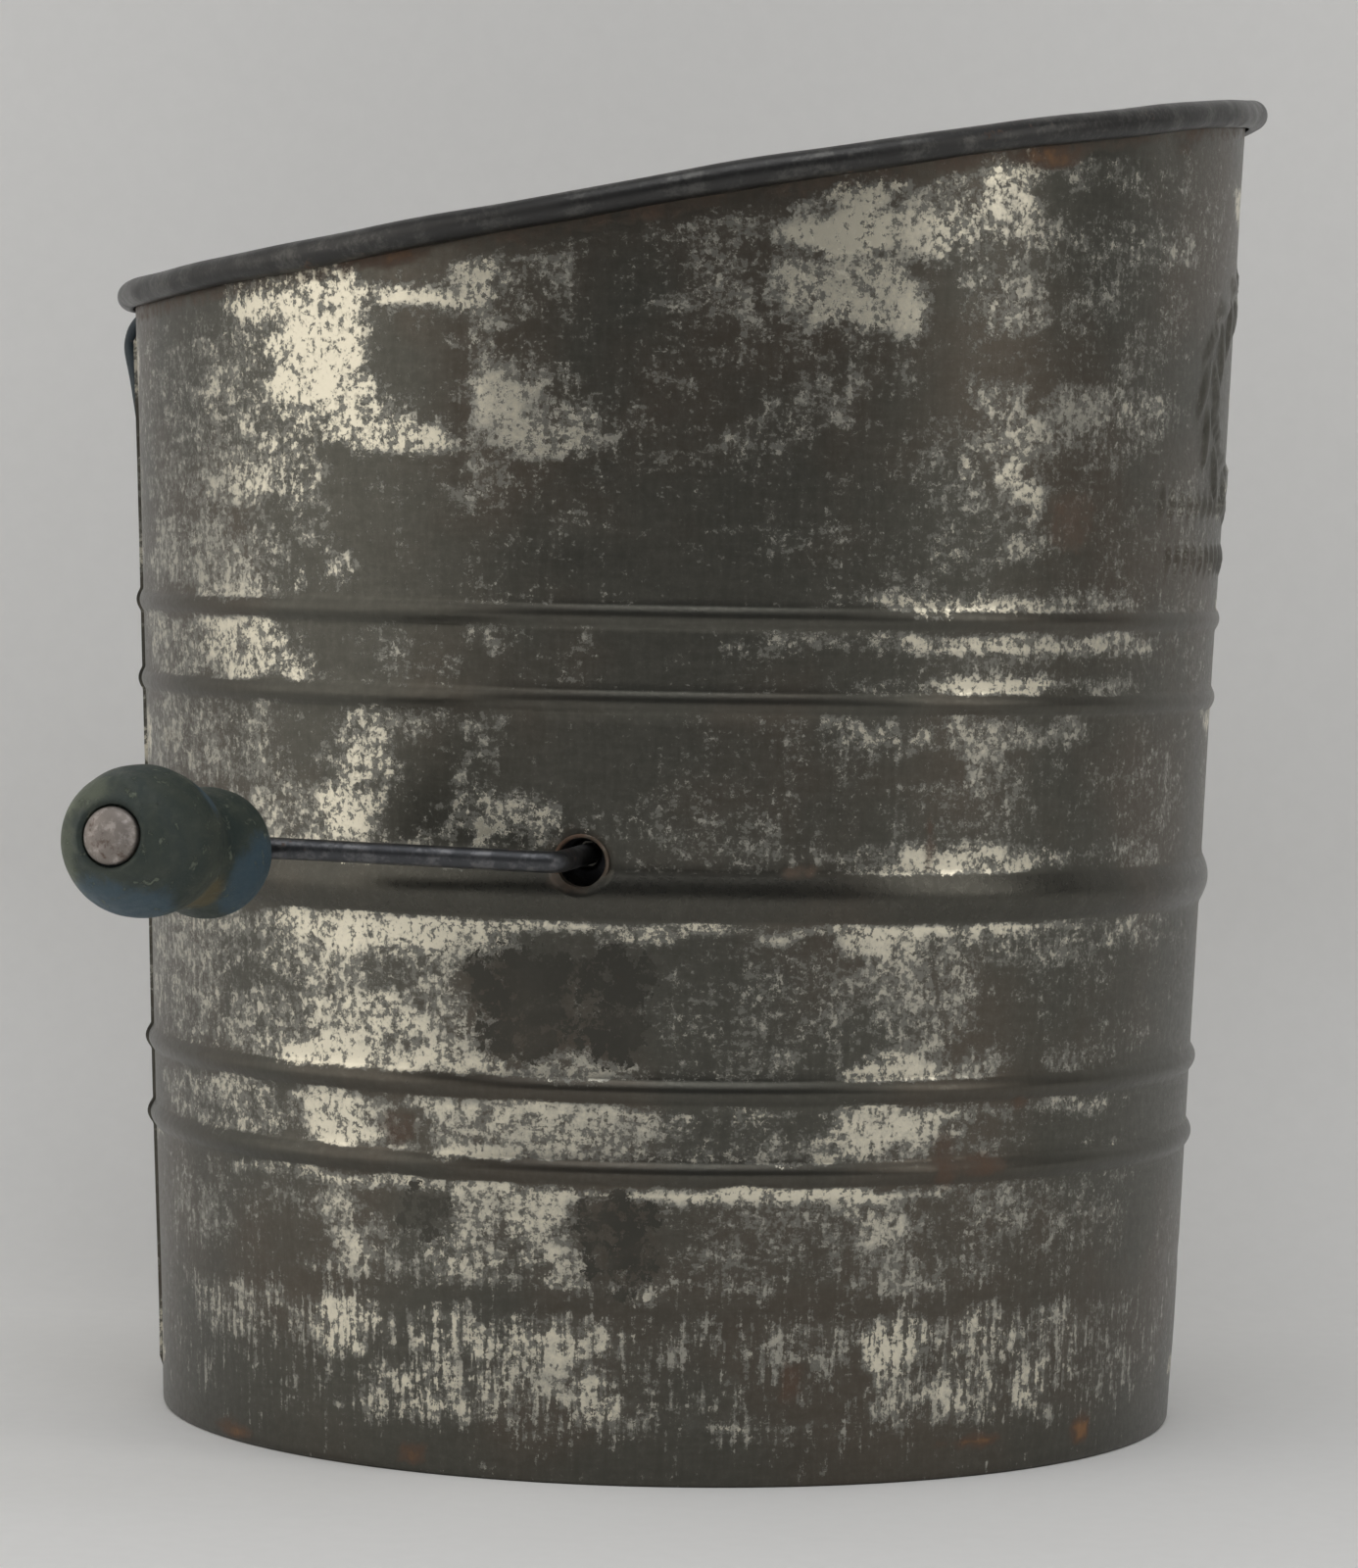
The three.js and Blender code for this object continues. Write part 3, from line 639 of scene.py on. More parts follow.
def ornament(theta, z):
    """Relief of the wreath and the rows of grains."""
    relief = np.zeros_like(z)
    for i in range(WREATH_LEAVES):
        turn = 2 * math.pi * (i + 0.5) / WREATH_LEAVES
        for side in (-1, 1):
            reach = 1 + 0.14 * side
            at_theta = WREATH_MIDDLE[0] + reach * WREATH_REACH[0] * math.cos(turn)
            at_z = WREATH_MIDDLE[1] + reach * WREATH_REACH[1] * math.sin(turn)
            slant = turn + math.pi / 2 - side * 0.5
            leaf = grain_mark(theta, z, at_theta, at_z, 3.9, 1.05, slant)
            relief = np.maximum(relief, np.sqrt(leaf))
    for height, first, count in GRAIN_ROWS:
        for i in range(count):
            grain = grain_mark(theta, z, first + 2.4 * i, height, 1.5, 0.75, math.pi / 2 - 0.25)
            relief = np.maximum(relief, 0.8 * np.sqrt(grain))
    return EMBOSS_RISE * relief


def wall_surface(angle, z, inside=False):
    """Outer radius of the wall; the inside leaves out what stands on the sheet."""
    theta = camera_theta(angle)
    radius = wall_radius(z) + bead_rise(z) + hand_wobble(angle, z) + creases(theta, z)
    if inside:
        return radius
    seam_offset = (angle - SEAM_ANGLE + math.pi) % (2 * math.pi) - math.pi
    on_seam = np.abs(seam_offset) * BASE_RADIUS < SEAM_WIDTH / 2
    radius = radius + SEAM_RISE * on_seam * (z > HEM_HEIGHT) * (z < SEAM_TOP)
    return radius + ornament(theta, z)


def wall_angles():
    """Columns of the wall: closer at the ornament, and a close pair at each edge of the seam."""
    first = math.radians(-90) + CAMERA_AZIMUTH
    coarse = np.arange(-180, 180, 1.25)
    fine = np.arange(56, 108, 0.48)
    thetas = np.concatenate([coarse[(coarse < 55.9) | (coarse > 107.9)], fine])
    seam_theta = math.degrees(SEAM_ANGLE - first) - 360
    half = math.degrees(SEAM_WIDTH / 2 / BASE_RADIUS)
    edges = [seam_theta + side * half + nudge for side in (-1, 1) for nudge in (-0.05, 0.05)]
    thetas = thetas[np.min(np.abs(thetas[:, None] - np.array(edges)), axis=1) > 0.25]
    return np.radians(np.sort(np.concatenate([thetas, edges]))) + first


def wall_heights(step, rows_per_bead):
    """Rows of the wall below the upper zone: closer together on the beads."""
    rows = list(np.arange(1.5, 104, step))
    for middle, width, _ in BEADS:
        rows = [z for z in rows if abs(z - middle) > width * 0.6]
        rows += list(middle + np.linspace(-0.54, 0.54, rows_per_bead) * width)
    return np.array(sorted(rows))


def sheet_thickness(z):
    """One thickness of tin, and two where the base is folded inward."""
    return TIN + TIN * (z <= HEM_HEIGHT)


UPPER_ZONE = 104


def tin_body():
    """The wall with its beads, hem, seam, dents, ornament and the two shaft holes."""
    angles = wall_angles()
    top = rim_place(angles, 0)[1] - 0.4

    def rows(heights, upper_count, inset, inside):
        """Heights and radii, one row per height and then rows that rise to the slanted top."""
        shares = np.linspace(0, 1, upper_count + 1)[1:]
        z = np.concatenate([
            np.repeat(heights[:, None], len(angles), 1),
            UPPER_ZONE + shares[:, None] * (top - UPPER_ZONE),
        ])
        return wall_surface(angles[None, :] + 0 * z, z, inside) - inset(z), z

    outside_heights = np.concatenate([[0.0, 0.12, 0.4, 0.9], wall_heights(1.35, 15)])
    fold = [0.38, 0.16, 0.03, 0.0]  # the folded base edge is rounded
    outer_r, outer_z = rows(outside_heights, 58, np.zeros_like, False)
    for row, pulled_in in enumerate(fold):
        outer_r[row] -= pulled_in
    inside_heights = np.concatenate([[0.0, 0.12, 0.5, HEM_HEIGHT - 0.3, HEM_HEIGHT, HEM_HEIGHT + 0.02],
                                     wall_heights(6.0, 9)[2:]])
    inner_r, inner_z = rows(inside_heights, 12, sheet_thickness, True)
    inner_r[0] += 0.38
    inner_r[1] += 0.12
    r = np.concatenate([outer_r, inner_r[::-1]])
    z = np.concatenate([outer_z, inner_z[::-1]])
    points = np.stack([r * np.cos(angles), r * np.sin(angles), z], -1).reshape(-1, 3)
    faces = grid_faces(len(r), len(angles), wrap_rows=True)
    body = piece("tin_body", points, faces, "sifter_body", TIN_PLATE, "tin_plate", ["body_shell"], 50)
    for side, (x, height, radius) in ((-1, FRONT_HOLE), (1, BACK_HOLE)):
        cut_hole(body, x, side * wall_radius(height), height, radius)
    store_wear(body)


def hole_lip():
    """The front hole's edge, turned in as punched."""
    points, faces = turned(flat_ring(HOLE_RADIUS, HOLE_RADIUS + 0.45, -0.2, 1.5, 0.2), 40)
    x, up, along = points[:, 0], points[:, 1], points[:, 2]
    place = np.stack([x + HOLE_X, along - wall_radius(HOLE_HEIGHT), up + HOLE_HEIGHT], -1)
    piece("hole_lip", place, faces, "sifter_body", LIP_STEEL, "tin_plate")


def cut_hole(obj, x, y, z, radius):
    """Cuts a round hole along Y through the wall."""
    bpy.ops.mesh.primitive_cylinder_add(
        vertices=40, radius=radius * MM, depth=10 * MM, rotation=(math.pi / 2, 0, 0),
        location=((x + AXIS[0]) * MM, (y + AXIS[1]) * MM, z * MM),
    )
    cutter = bpy.context.object
    hole = obj.modifiers.new("hole", "BOOLEAN")
    hole.operation = "DIFFERENCE"
    hole.solver = "EXACT"
    hole.object = cutter
    bpy.context.view_layer.objects.active = obj
    bpy.ops.object.modifier_apply(modifier=hole.name)
    bpy.data.objects.remove(cutter)


# ------------------------------------------------------------ wear of the wall, with painted highlight in its tin amount
# Bright tin that is left on the wall, partly painted highlight: amounts are highest in the upright
# columns near theta -40 and near 30, where the lamps' highlights fall, and the thin bands along the
# beads' edges are tin and also a painted reflected line along each bead.
# Each band is (middle height, half height) with patches of (theta, half width in degrees, amount).
# Amounts below 0 are bare, dark places.
TIN_AND_HIGHLIGHT_BANDS = {
    (153, 2.2): [(33, 3.5, 0.8), (44, 5, 0.55), (57, 5, 0.25)],
    (149, 2.5): [(17, 4, 0.8), (27, 3, 0.55), (33, 3, 0.75), (5, 5, 0.3)],
    (145, 2.2): [(17, 5, 0.95), (25, 7, 0.8), (35, 3, 0.6), (50, 14, 0.48), (4, 6, 0.35)],
    (138, 3.6): [(-44, 9, 0.95), (-37, 5, 1.0), (-21, 3.5, 0.75), (-14, 5, 0.3), (17, 5, 0.75),
        (32, 3, 0.5), (5, 5, 0.4), (44, 6, 0.35), (56, 5, 0.3), (-62, 8, 0.35)],
    (136.6, 0.9): [(-27, 4.5, 0.85)],
    (131, 4.2): [(-39, 6.5, 1.05), (-50, 6, 0.6), (-19, 2.5, 0.5), (-62, 9, 0.4), (15, 7, 0.2),
        (53, 4, 0.35)],
    (125.5, 2.6): [(-38, 9, 1.0), (-16.5, 4, 0.75), (-52, 7, 0.6), (10, 4, 0.45), (16, 2, 0.4),
        (33.5, 3, 0.55), (50, 11, 0.5), (-66, 9, 0.4)],
    (121.5, 2.4): [(-31, 5, 0.95), (-43, 8, 0.75), (-15, 5, 0.65), (9, 4, 0.45), (35, 5, 0.6),
        (-58, 8, 0.45), (-72, 8, 0.4), (46, 5, 0.3)],
    (116, 3.2): [(-45, 7, 0.7), (-54, 6, 0.55), (-23.5, 3, 0.35), (-19, 2, 0.4), (33.5, 1.3, 0.85),
        (31, 5, 0.38), (25, 3, 0.3), (-68, 9, 0.4), (66, 7, 0.3)],
    (109, 2.2): [(-44, 4, 0.5), (30, 8, 0.55), (12, 10, 0.25), (62, 9, 0.25), (-63, 12, 0.45)],
    (105.5, 2.2): [(-60, 14, 0.5), (-38.5, 2.2, 0.6), (26, 7, 0.3), (-46, 5, 0.4)],
    (102.6, 1.1): [(-50, 9, 0.6), (28, 13, 0.85), (46, 7, 0.6), (62, 10, 0.3), (-19, 2, 0.35)],
    (97.8, 1.1): [(-52, 11, 0.8), (-30, 4, 0.5), (-19, 3, 0.45), (8, 8, 0.5), (30, 12, 0.8),
        (48, 8, 0.65), (-70, 9, 0.55), (70, 9, 0.3)],
    (95, 1.8): [(-51, 10, 0.8), (-30, 5, 0.35), (34, 5, 0.4), (-69, 9, 0.5), (72, 8, 0.25)],
    (93, 0.9): [(-48, 8, 0.75), (24, 6, 0.55), (34, 5, 0.95), (47, 7, 0.45), (-30, 4, 0.35),
        (-68, 9, 0.5)],
    (87.5, 1.8): [(-60, 14, 0.5), (-46, 5, 0.5), (-33, 4, 0.7), (-24, 5, 0.45), (20, 3, 0.65),
        (31, 7, 0.6), (42, 6, 0.45), (60, 8, 0.2), (7, 9, 0.2)],
    (83, 2.8): [(-33, 4, 0.8), (-62, 13, 0.5), (-47, 5, 0.5), (-20, 2, 0.4), (30, 4, 0.5),
        (38, 4, 0.35), (57, 9, 0.2)],
    (77, 2.8): [(-35, 5, 0.9), (-45, 5, 0.6), (-20, 3.5, 0.7), (-13, 4, 0.65), (3, 7, 0.3),
        (35, 5, 0.35), (-5, 4, 0.3)],
    (73, 1.3): [(-32, 15, 0.75), (5, 7, 0.35), (17, 4, 0.55), (30, 7, 0.85), (41, 6, 0.75),
        (55, 10, 0.35)],
    (71.6, 0.5): [(-30, 17, 1.0), (30, 12, 0.8)],
    (64.6, 0.7): [(-30, 18, 0.9), (0, 19, 0.75), (30, 12, 0.9), (50, 12, 0.6), (-62, 12, 0.6)],
    (63, 1.8): [(-32, 13, 0.9), (-58, 13, 0.6), (22, 4, 0.8), (34, 6, 0.55), (47, 11, 0.55),
        (62, 9, 0.35)],
    (58.5, 2.8): [(-40, 9, 0.65), (-24, 4, 0.6), (-60, 12, 0.5), (25, 7, 0.52), (8, 11, 0.42),
        (-15.5, 4.6, -0.9), (-5.4, 2.9, -0.9), (45, 8, 0.2), (-76, 8, 0.5)],
    (53, 2.8): [(-34, 9, 0.8), (-52, 10, 0.55), (-70, 10, 0.5), (25, 7, 0.5), (8, 11, 0.40),
        (-15, 4.6, -0.8), (-5.8, 2.7, -0.9), (55, 6, 0.25), (-22, 4, 0.6)],
    (48.6, 1.5): [(-39, 9, 1.0), (-24, 7, 0.85), (-12, 6, 0.6), (23, 7, 0.78), (8, 8, 0.40),
        (35, 3, 0.5), (50, 7, 0.4), (-58, 9, 0.55), (0, 5, 0.35)],
    (43.2, 0.9): [(-37, 7, 0.8), (-15, 14, 0.75), (5, 10, 0.62), (23, 8, 0.75), (36, 4, 0.5),
        (48, 7, 0.6), (-56, 10, 0.65)],
    (41, 2.0): [(-37, 5, 0.85), (-52, 8, 0.65), (-68, 9, 0.5), (-20, 5, 0.65), (-11, 6, 0.7),
        (-1, 5, 0.5), (7, 7, 0.45), (22, 7, 0.8)],
    (38.4, 0.7): [(-37, 7, 1.0), (-21, 5, 0.85), (-8, 8, 0.6), (8, 6, 0.6), (20, 7, 0.8), (35, 4, 0.5),
        (51, 5, 0.6), (-56, 9, 0.6)],
    (34.1, 0.6): [(-25, 26, 0.8), (10, 18, 0.95), (46, 14, 0.45)],
    (31, 2.4): [(-36, 5, 0.6), (-20, 4, 0.65), (-12, 4.5, 0.75), (8, 8, 0.32), (20, 6, 0.65),
        (35, 5, 0.45), (50, 9, 0.35), (-55, 12, 0.3), (-5.5, 3.5, -0.7), (-26, 2.5, -0.5)],
    (26, 2.8): [(-36, 4, 0.7), (-22, 4, 0.65), (-11, 5, 0.65), (8, 8, 0.35), (24, 5, 0.42),
        (33, 6, 0.35), (-62, 9, 0.35), (50, 6, 0.3), (-5, 3, -0.6), (-29, 3, 0.4)],
    (22.8, 1.2): [(-8, 6, 0.6), (26, 7, 0.45), (-38, 6, 0.5)],
    (16.5, 3.0): [(-36, 5, 0.85), (-57, 10, 0.55), (-46, 5, 0.5), (-24, 6, 0.75), (-13, 9, 0.75),
        (-2, 6, 0.42), (14, 7, 0.45), (25, 4, 0.85), (36, 6, 0.65), (47, 5, 0.55), (57, 5, 0.3)],
    (10, 3.0): [(-26, 6, 0.75), (-36, 5, 0.5), (-16, 5, 0.65), (-8, 4, 0.75), (0, 5, 0.42),
        (6, 4, 0.42), (25, 4, 0.62), (33, 4, 0.7), (43, 4, 0.75), (-60, 12, 0.3), (56, 6, 0.35),
        (67, 5, 0.35)],
    (6.8, 1.0): [(-22, 2, 0.7), (-13, 4, 0.5), (9, 6, 0.5), (33, 4, 0.45), (43, 4, 0.5), (-6, 4, 0.5)],
}

# Rust and brown stains: theta, height, half width in degrees, half height, amount
RUST_SPOTS = [
    (-32, 141.8, 6, 1.6, 0.8), (37, 154.5, 4, 1.6, 0.8), (-29, 40.5, 2.6, 2.4, 0.55),
    (34, 37, 3.0, 1.6, 0.62), (29.5, 38, 1.8, 4.0, 0.6), (26.5, 75, 0.8, 3.6, 0.5),
    (39, 44, 1.4, 0.9, 0.7), (-55, 1.6, 4, 1.2, 0.85), (-27.5, 2.2, 1.9, 1.3, 0.85),
    (35.5, 4.3, 2.8, 1.1, 1.05), (51.5, 3.9, 1.7, 1.6, 1.25), (13, 12.6, 0.9, 3.3, 0.8),
    (31, 4, 2, 0.8, 0.5), (42, 112, 4, 4, 0.45), (60, 104, 12, 9, 0.22), (55, 26, 10, 6, 0.25),
    (12.5, 71.8, 2.2, 1.1, 0.5), (-67, 84, 3, 2, 0.3), (66, 60, 8, 6, 0.2), (57, 157, 3, 1.2, 0.35),
]

DEGREE_ON_WALL = 1.15  # millimetres round the wall


def random_wear(rng):
    """Patches for the sides that the photograph doesn't show, in the same bands."""
    patches = []
    for middle, half in TIN_AND_HIGHLIGHT_BANDS:
        for theta in np.arange(84, 278, 7):
            amount = 0.95 * rng.uniform(0.0, 1.0) ** 1.8
            place = theta + rng.uniform(-4, 4)
            height = middle + rng.uniform(-0.6, 0.6) * half
            patches.append((place, height, rng.uniform(2, 7), half * rng.uniform(0.6, 1.1), amount))
    return patches


def soft_patch(theta, z, middle_theta, middle_z, half_theta, half_z):
    """1 inside an oval patch, falling softly to 0 outside."""
    away = (theta - middle_theta + 180) % 360 - 180
    distance = np.hypot(away / half_theta, (z - middle_z) / half_z)
    return smooth_step(1.5, 0.6, distance)


def ripple(theta, z, rng, size):
    """Smooth random waves, about size millimetres long and between -1 and 1."""
    total = np.zeros_like(z)
    for _ in range(9):
        turn = rng.uniform(0, math.pi)
        reach = 2 * math.pi / (size * rng.uniform(0.6, 1.8))
        across = theta * DEGREE_ON_WALL * math.cos(turn) + z * math.sin(turn)
        total += np.sin(across * reach + rng.uniform(0, 6.28)) / 3
    return total


def store_wear(obj):
    """Writes the wear map on the mesh: bright tin, which carries painted highlight, rust, places without
    flecks, and bare places.
    """
    mesh = obj.data
    co = np.empty(len(mesh.vertices) * 3)
    mesh.vertices.foreach_get("co", co)
    co = co.reshape(-1, 3) / MM - AXIS
    angle = np.arctan2(co[:, 1], co[:, 0])
    theta, z = camera_theta(angle), co[:, 2]
    tin_and_highlight = np.full(len(z), 0.10)
    bare = np.zeros(len(z))
    rng = np.random.default_rng(SEED)
    ragged_theta = theta + 2.2 * ripple(theta, z, rng, 14) + 1.2 * ripple(theta, z, rng, 5)
    ragged_z = z + 0.5 * ripple(theta, z, rng, 9)
    # the tin amount carries the painted highlight of the table above
    listed = [(t, z0, w, hz, a) for (z0, hz), row in TIN_AND_HIGHLIGHT_BANDS.items() for t, w, a in row]
    for t, z0, w, hz, amount in listed + random_wear(rng):
        if amount < 0:
            bare = np.maximum(bare, -amount * soft_patch(theta, z, t, z0, w * 1.15, hz * 1.3))
        else:
            patch = soft_patch(ragged_theta, ragged_z, t, z0, w * 1.1, hz * 1.35)
            tin_and_highlight = np.maximum(tin_and_highlight, amount * patch)
    rim_z = rim_place(angle, 0)[1]
    under_rim = smooth_step(4.6, 2.4, rim_z - z)
    rust = 0.45 * under_rim
    for t, z0, w, hz, amount in RUST_SPOTS:
        rust = np.maximum(rust, amount * soft_patch(theta, z, t, z0, w, hz))
    on_wide_bead = np.abs(z - WIDE_BEAD_HEIGHT) < 4
    bead_cover = smooth_step(0.12, 0.30, bead_rise(z)) * np.where(on_wide_bead, 1.0, 0.6)
    smooth = 0.2 * smooth_step(5.5, 3.5, z) + bead_cover
    smooth = smooth + 0.25 * np.exp(-(((z - 21) / 1.2) ** 2)) + 0.6 * under_rim
    wear = np.stack([np.clip(tin_and_highlight, 0, 1.1), rust, np.clip(smooth, 0, 1.2), bare], -1)
    layer = mesh.attributes.new("wear", "FLOAT_COLOR", "POINT")
    layer.data.foreach_set("color", wear.astype(np.float32).ravel())


# ------------------------------------------------------------ rim
def rolled_rim():
    """The curled edge, with the small waves of a hand-fed roll."""
    angles = np.radians(np.arange(360))
    r, z = rim_place(angles, ROLL_OUTSET)
    z = z + 0.10 * np.sin(5 * angles + 1.0) + 0.06 * np.sin(13 * angles)
    far_left = np.exp(-(((camera_theta(angles) + 86) / 22) ** 2))
    z = z + 0.6 * far_left
    size = 1 + 0.03 * np.sin(9 * angles + 0.5) + 0.02 * np.sin(23 * angles) - 0.07 * far_left
    outside, inside = np.linspace(-105, 205, 26), np.linspace(205, -105, 18)
    turn = np.radians(np.concatenate([outside, inside]))
    depth = np.repeat([ROLL_RADIUS, ROLL_RADIUS - TIN], [len(outside), len(inside)])
    section_r = r + np.cos(turn)[:, None] * depth[:, None] * size
    section_z = z + np.sin(turn)[:, None] * depth[:, None] * size
    points = np.stack([section_r * np.cos(angles), section_r * np.sin(angles), section_z], -1)
    faces = grid_faces(len(turn), len(angles), wrap_rows=True)
    points = points.reshape(-1, 3)
    piece("rolled_rim", points, faces, "sifter_body", RIM_STEEL, "rolled_rim", ["rim_roll"], 60)


# ------------------------------------------------------------ sieve
WEAVE_PITCH = 1.9
CLOTH_WIRE = 0.2
CLOTH_REACH = 61.5


def cloth_height(r):
    """Height of the woven cloth's middle: a bowl with a flat brim."""
    bowl = SHAFT_HEIGHT - np.sqrt(np.maximum(BOWL_RADIUS**2 - r**2, 0))
    return np.where(r < math.sqrt(BOWL_RADIUS**2 - (SHAFT_HEIGHT - BRIM_HEIGHT) ** 2), bowl, BRIM_HEIGHT)


def woven_screen():
    """Plain-weave wire cloth: every wire goes over and under the ones it crosses."""
    wires = []
    count = int(CLOTH_REACH / WEAVE_PITCH)
    for i in range(-count, count + 1):
        fixed = i * WEAVE_PITCH
        reach = math.sqrt(CLOTH_REACH**2 - fixed**2)
        cells = int(reach / WEAVE_PITCH)
        if cells < 2:
            continue
        steps = np.arange(-2 * cells, 2 * cells + 1)
        along = steps * WEAVE_PITCH / 2
        swing = CLOTH_WIRE * np.cos(steps * math.pi / 2) * (-1) ** i
        height = cloth_height(np.hypot(along, fixed))
        flat = np.full(len(along), fixed)
        wires.append(tube(np.stack([along, flat, height + swing], -1), CLOTH_WIRE, 4))
        wires.append(tube(np.stack([flat, along, height - swing], -1), CLOTH_WIRE, 4))
    points, faces = merged(*wires)
    piece("woven_screen", points, faces, "sifter_body", CLOTH_STEEL, "woven_screen",
          ["sieve_screen"], 180)


def hoop_parts():
    """The hoop that carries the screen and the ring that clamps its brim."""
    low, inner, outer, height = 57.1, 57.9, 64.9, 8
    section = rounded(
        [(inner, low), (outer, low), (outer, low + height), (outer - TIN, low + height),
         (outer - TIN, low + TIN), (inner, low + TIN)], 0.25)
    piece("hoop", *turned(section, 128), "sifter_body", INNER_TIN, "tin_plate", ["screen_hoop"])
    clamp = flat_ring(58.6, 64.1, 58.7, 59.9, 0.3)
    piece("clamp_ring", *turned(clamp, 128), "sifter_body", INNER_TIN, "tin_plate",
          ["screen_clamp_ring"])


# ------------------------------------------------------------ crank and agitator
def on_shaft(shape, y):
    """A shape turned about Z, laid along the shaft with its low end at y."""
    points, faces = shape
    x, height, along = points[:, 0], points[:, 1], points[:, 2]
    return np.stack([x, along + y, height + SHAFT_HEIGHT], -1), faces


def crank_wire():
    """Shaft, arm and pin of one wire, with the upset head that keeps it in the back wall."""
    kink_height = SHAFT_HEIGHT + ARM_RISE * (1 - KINK_BEFORE_PIN / ARM_LENGTH)
    corners = [
        (0, TAIL_HEAD_Y + 0.7, SHAFT_HEIGHT),
        (0, ARM_Y, SHAFT_HEIGHT),
        (-ARM_LENGTH + KINK_BEFORE_PIN, ARM_Y, kink_height),
        PIN_START,
        PIN_START + PIN_DIRECTION * (KNOB_FRONT - CAP_RECESS),
    ]
    wire = tube(bent_path(corners, BEND_RADIUS), WIRE_RADIUS, 20)
    head = rounded([(0.01, 0), (2.4, 0), (2.4, 1.0), (1.6, 1.4), (0.01, 1.4)], 0.4)
    tail = on_shaft(turned(head, 32), TAIL_HEAD_Y)
    piece("crank_wire", *merged(wire, tail), "crank", WIRE_STEEL, "steel_wire", ["crank_rod"])


def shaft_rings():
    """Collars that hold the bowed wires, and the two washers."""
    collar = flat_ring(WIRE_BORE, RING_RADIUS, 0, 4, 0.5)
    for name, y in (("front", -BOW_RADIUS - 2), ("back", BOW_RADIUS - 2)):
        piece(f"collar_{name}", *on_shaft(turned(collar, 40), y), "crank", WIRE_STEEL, "steel_wire",
              [f"agitator_collar_{name}"])
    washer = flat_ring(WIRE_BORE, RING_RADIUS, 0, WASHER, 0.2)
    inside_y = WALL_AT_SHAFT - TIN - 2 * RING_GAP - WASHER
    for name, node, y in (("washer_inside", "shaft_washer", inside_y),
                          ("washer_outside", "tail_washer", TAIL_HEAD_Y - RING_GAP - WASHER)):
        piece(name, *on_shaft(turned(washer, 40), y), "crank", WIRE_STEEL, "steel_wire", [node])


def agitator():
    """Four bowed wires, a little uneven as bent by hand."""
    clear = math.asin(4.3 / BOW_RADIUS)
    for i in range(4):
        turn = (i + 0.5) * math.pi / 2
        swing = np.linspace(clear, math.pi - clear, 60)
        radius = BOW_RADIUS - 0.15 * np.sin(5 * swing + i)
        out, along = radius * np.sin(swing), -radius * np.cos(swing)
        path = np.stack([out * math.cos(turn), along, SHAFT_HEIGHT - out * math.sin(turn)], -1)
        piece(f"bowed_wire_{i + 1}", *tube(path, BOW_WIRE_RADIUS, 12), "crank", WIRE_STEEL, "steel_wire",
              [f"agitator_wire_{i + 1}"])


# ------------------------------------------------------------ knob
KNOB_STATIONS = [(KNOB_BACK, 5.2), (4.8, 6.9), (8, 7.45), (15.2, 6.3), (20.75, 7.9), (26.3, 8.45),
                 (31.6, 6.7), (KNOB_FRONT, 4.2)]  # along the pin, radius


def smooth_line(stations, steps):
    """A Catmull-Rom line through stations of (along, radius)."""
    p = np.asarray(stations, float)
    p = np.concatenate([[2 * p[0] - p[1]], p, [2 * p[-1] - p[-2]]])
    line = []
    for a, b, c, d in zip(p, p[1:], p[2:], p[3:]):
        for t in np.arange(steps) / steps:
            line.append(0.5 * (2 * b + (c - a) * t + (2 * a - 5 * b + 4 * c - d) * t**2
                               + (3 * b - a - 3 * c + d) * t**3))
    line.append(p[-2])
    return np.array(line)


def on_pin(shape):
    """A shape turned about Z, laid along the knob's pin."""
    points, faces = shape
    return turn_to(PIN_DIRECTION, points) + PIN_START, faces


def knob_parts():
    """Turned wooden knob with its cap and the washer behind it."""
    outline = smooth_line(KNOB_STATIONS, 8)[:, ::-1]
    seat = KNOB_FRONT - CAP_RECESS
    loop = [(WIRE_BORE, KNOB_BACK), *outline, (3.9, KNOB_FRONT + 0.05), (3.5, KNOB_FRONT - 0.25),
            (3.5, seat), (WIRE_BORE, seat)]
    points, faces = turned(loop, 96)
    around = np.arctan2(points[:, 1], points[:, 0])
    uneven = 1 + 0.006 * np.sin(2 * around + 0.7) + 0.004 * np.sin(points[:, 2] * 1.9 + 3 * around)
    outside = np.hypot(points[:, 0], points[:, 1]) > 5
    points[:, :2] *= np.where(outside, uneven, 1)[:, None]
    piece("turned_knob", *on_pin((points, faces)), "knob", KNOB_PAINT, "painted_wood", ["knob_grip"], 50)

    foot = seat + 0.3
    dome = [(0.01, foot), (3.15, foot), (3.2, foot + 0.9), (2.95, foot + 1.35), (2.3, foot + 1.75),
            (1.3, foot + 2.02), (0.6, foot + 2.0), (0.01, foot + 1.96)]
    piece("cap", *on_pin(turned(dome, 48)), "crank", CAP_METAL, "cap_metal", ["knob_cap"], 50)
    washer = flat_ring(WIRE_BORE, RING_RADIUS, KNOB_BACK - RING_GAP - 0.75, KNOB_BACK - RING_GAP, 0.2)
    piece("knob_backing", *on_pin(turned(washer, 40)), "crank", WIRE_STEEL, "steel_wire",
          ["knob_washer"])


# ------------------------------------------------------------ handle
GRIP_LINE = [(82, 139.3), (94.4, 138.4), (98.4, 135), (97, 129), (92.6, 114), (85, 98), (75, 87.5)]


def strap_on_wall(z):
    """A point of the strap's middle line where it lies on the wall."""
    return (wall_radius(z) + 0.3 + STRAP_THICKNESS / 2, z)


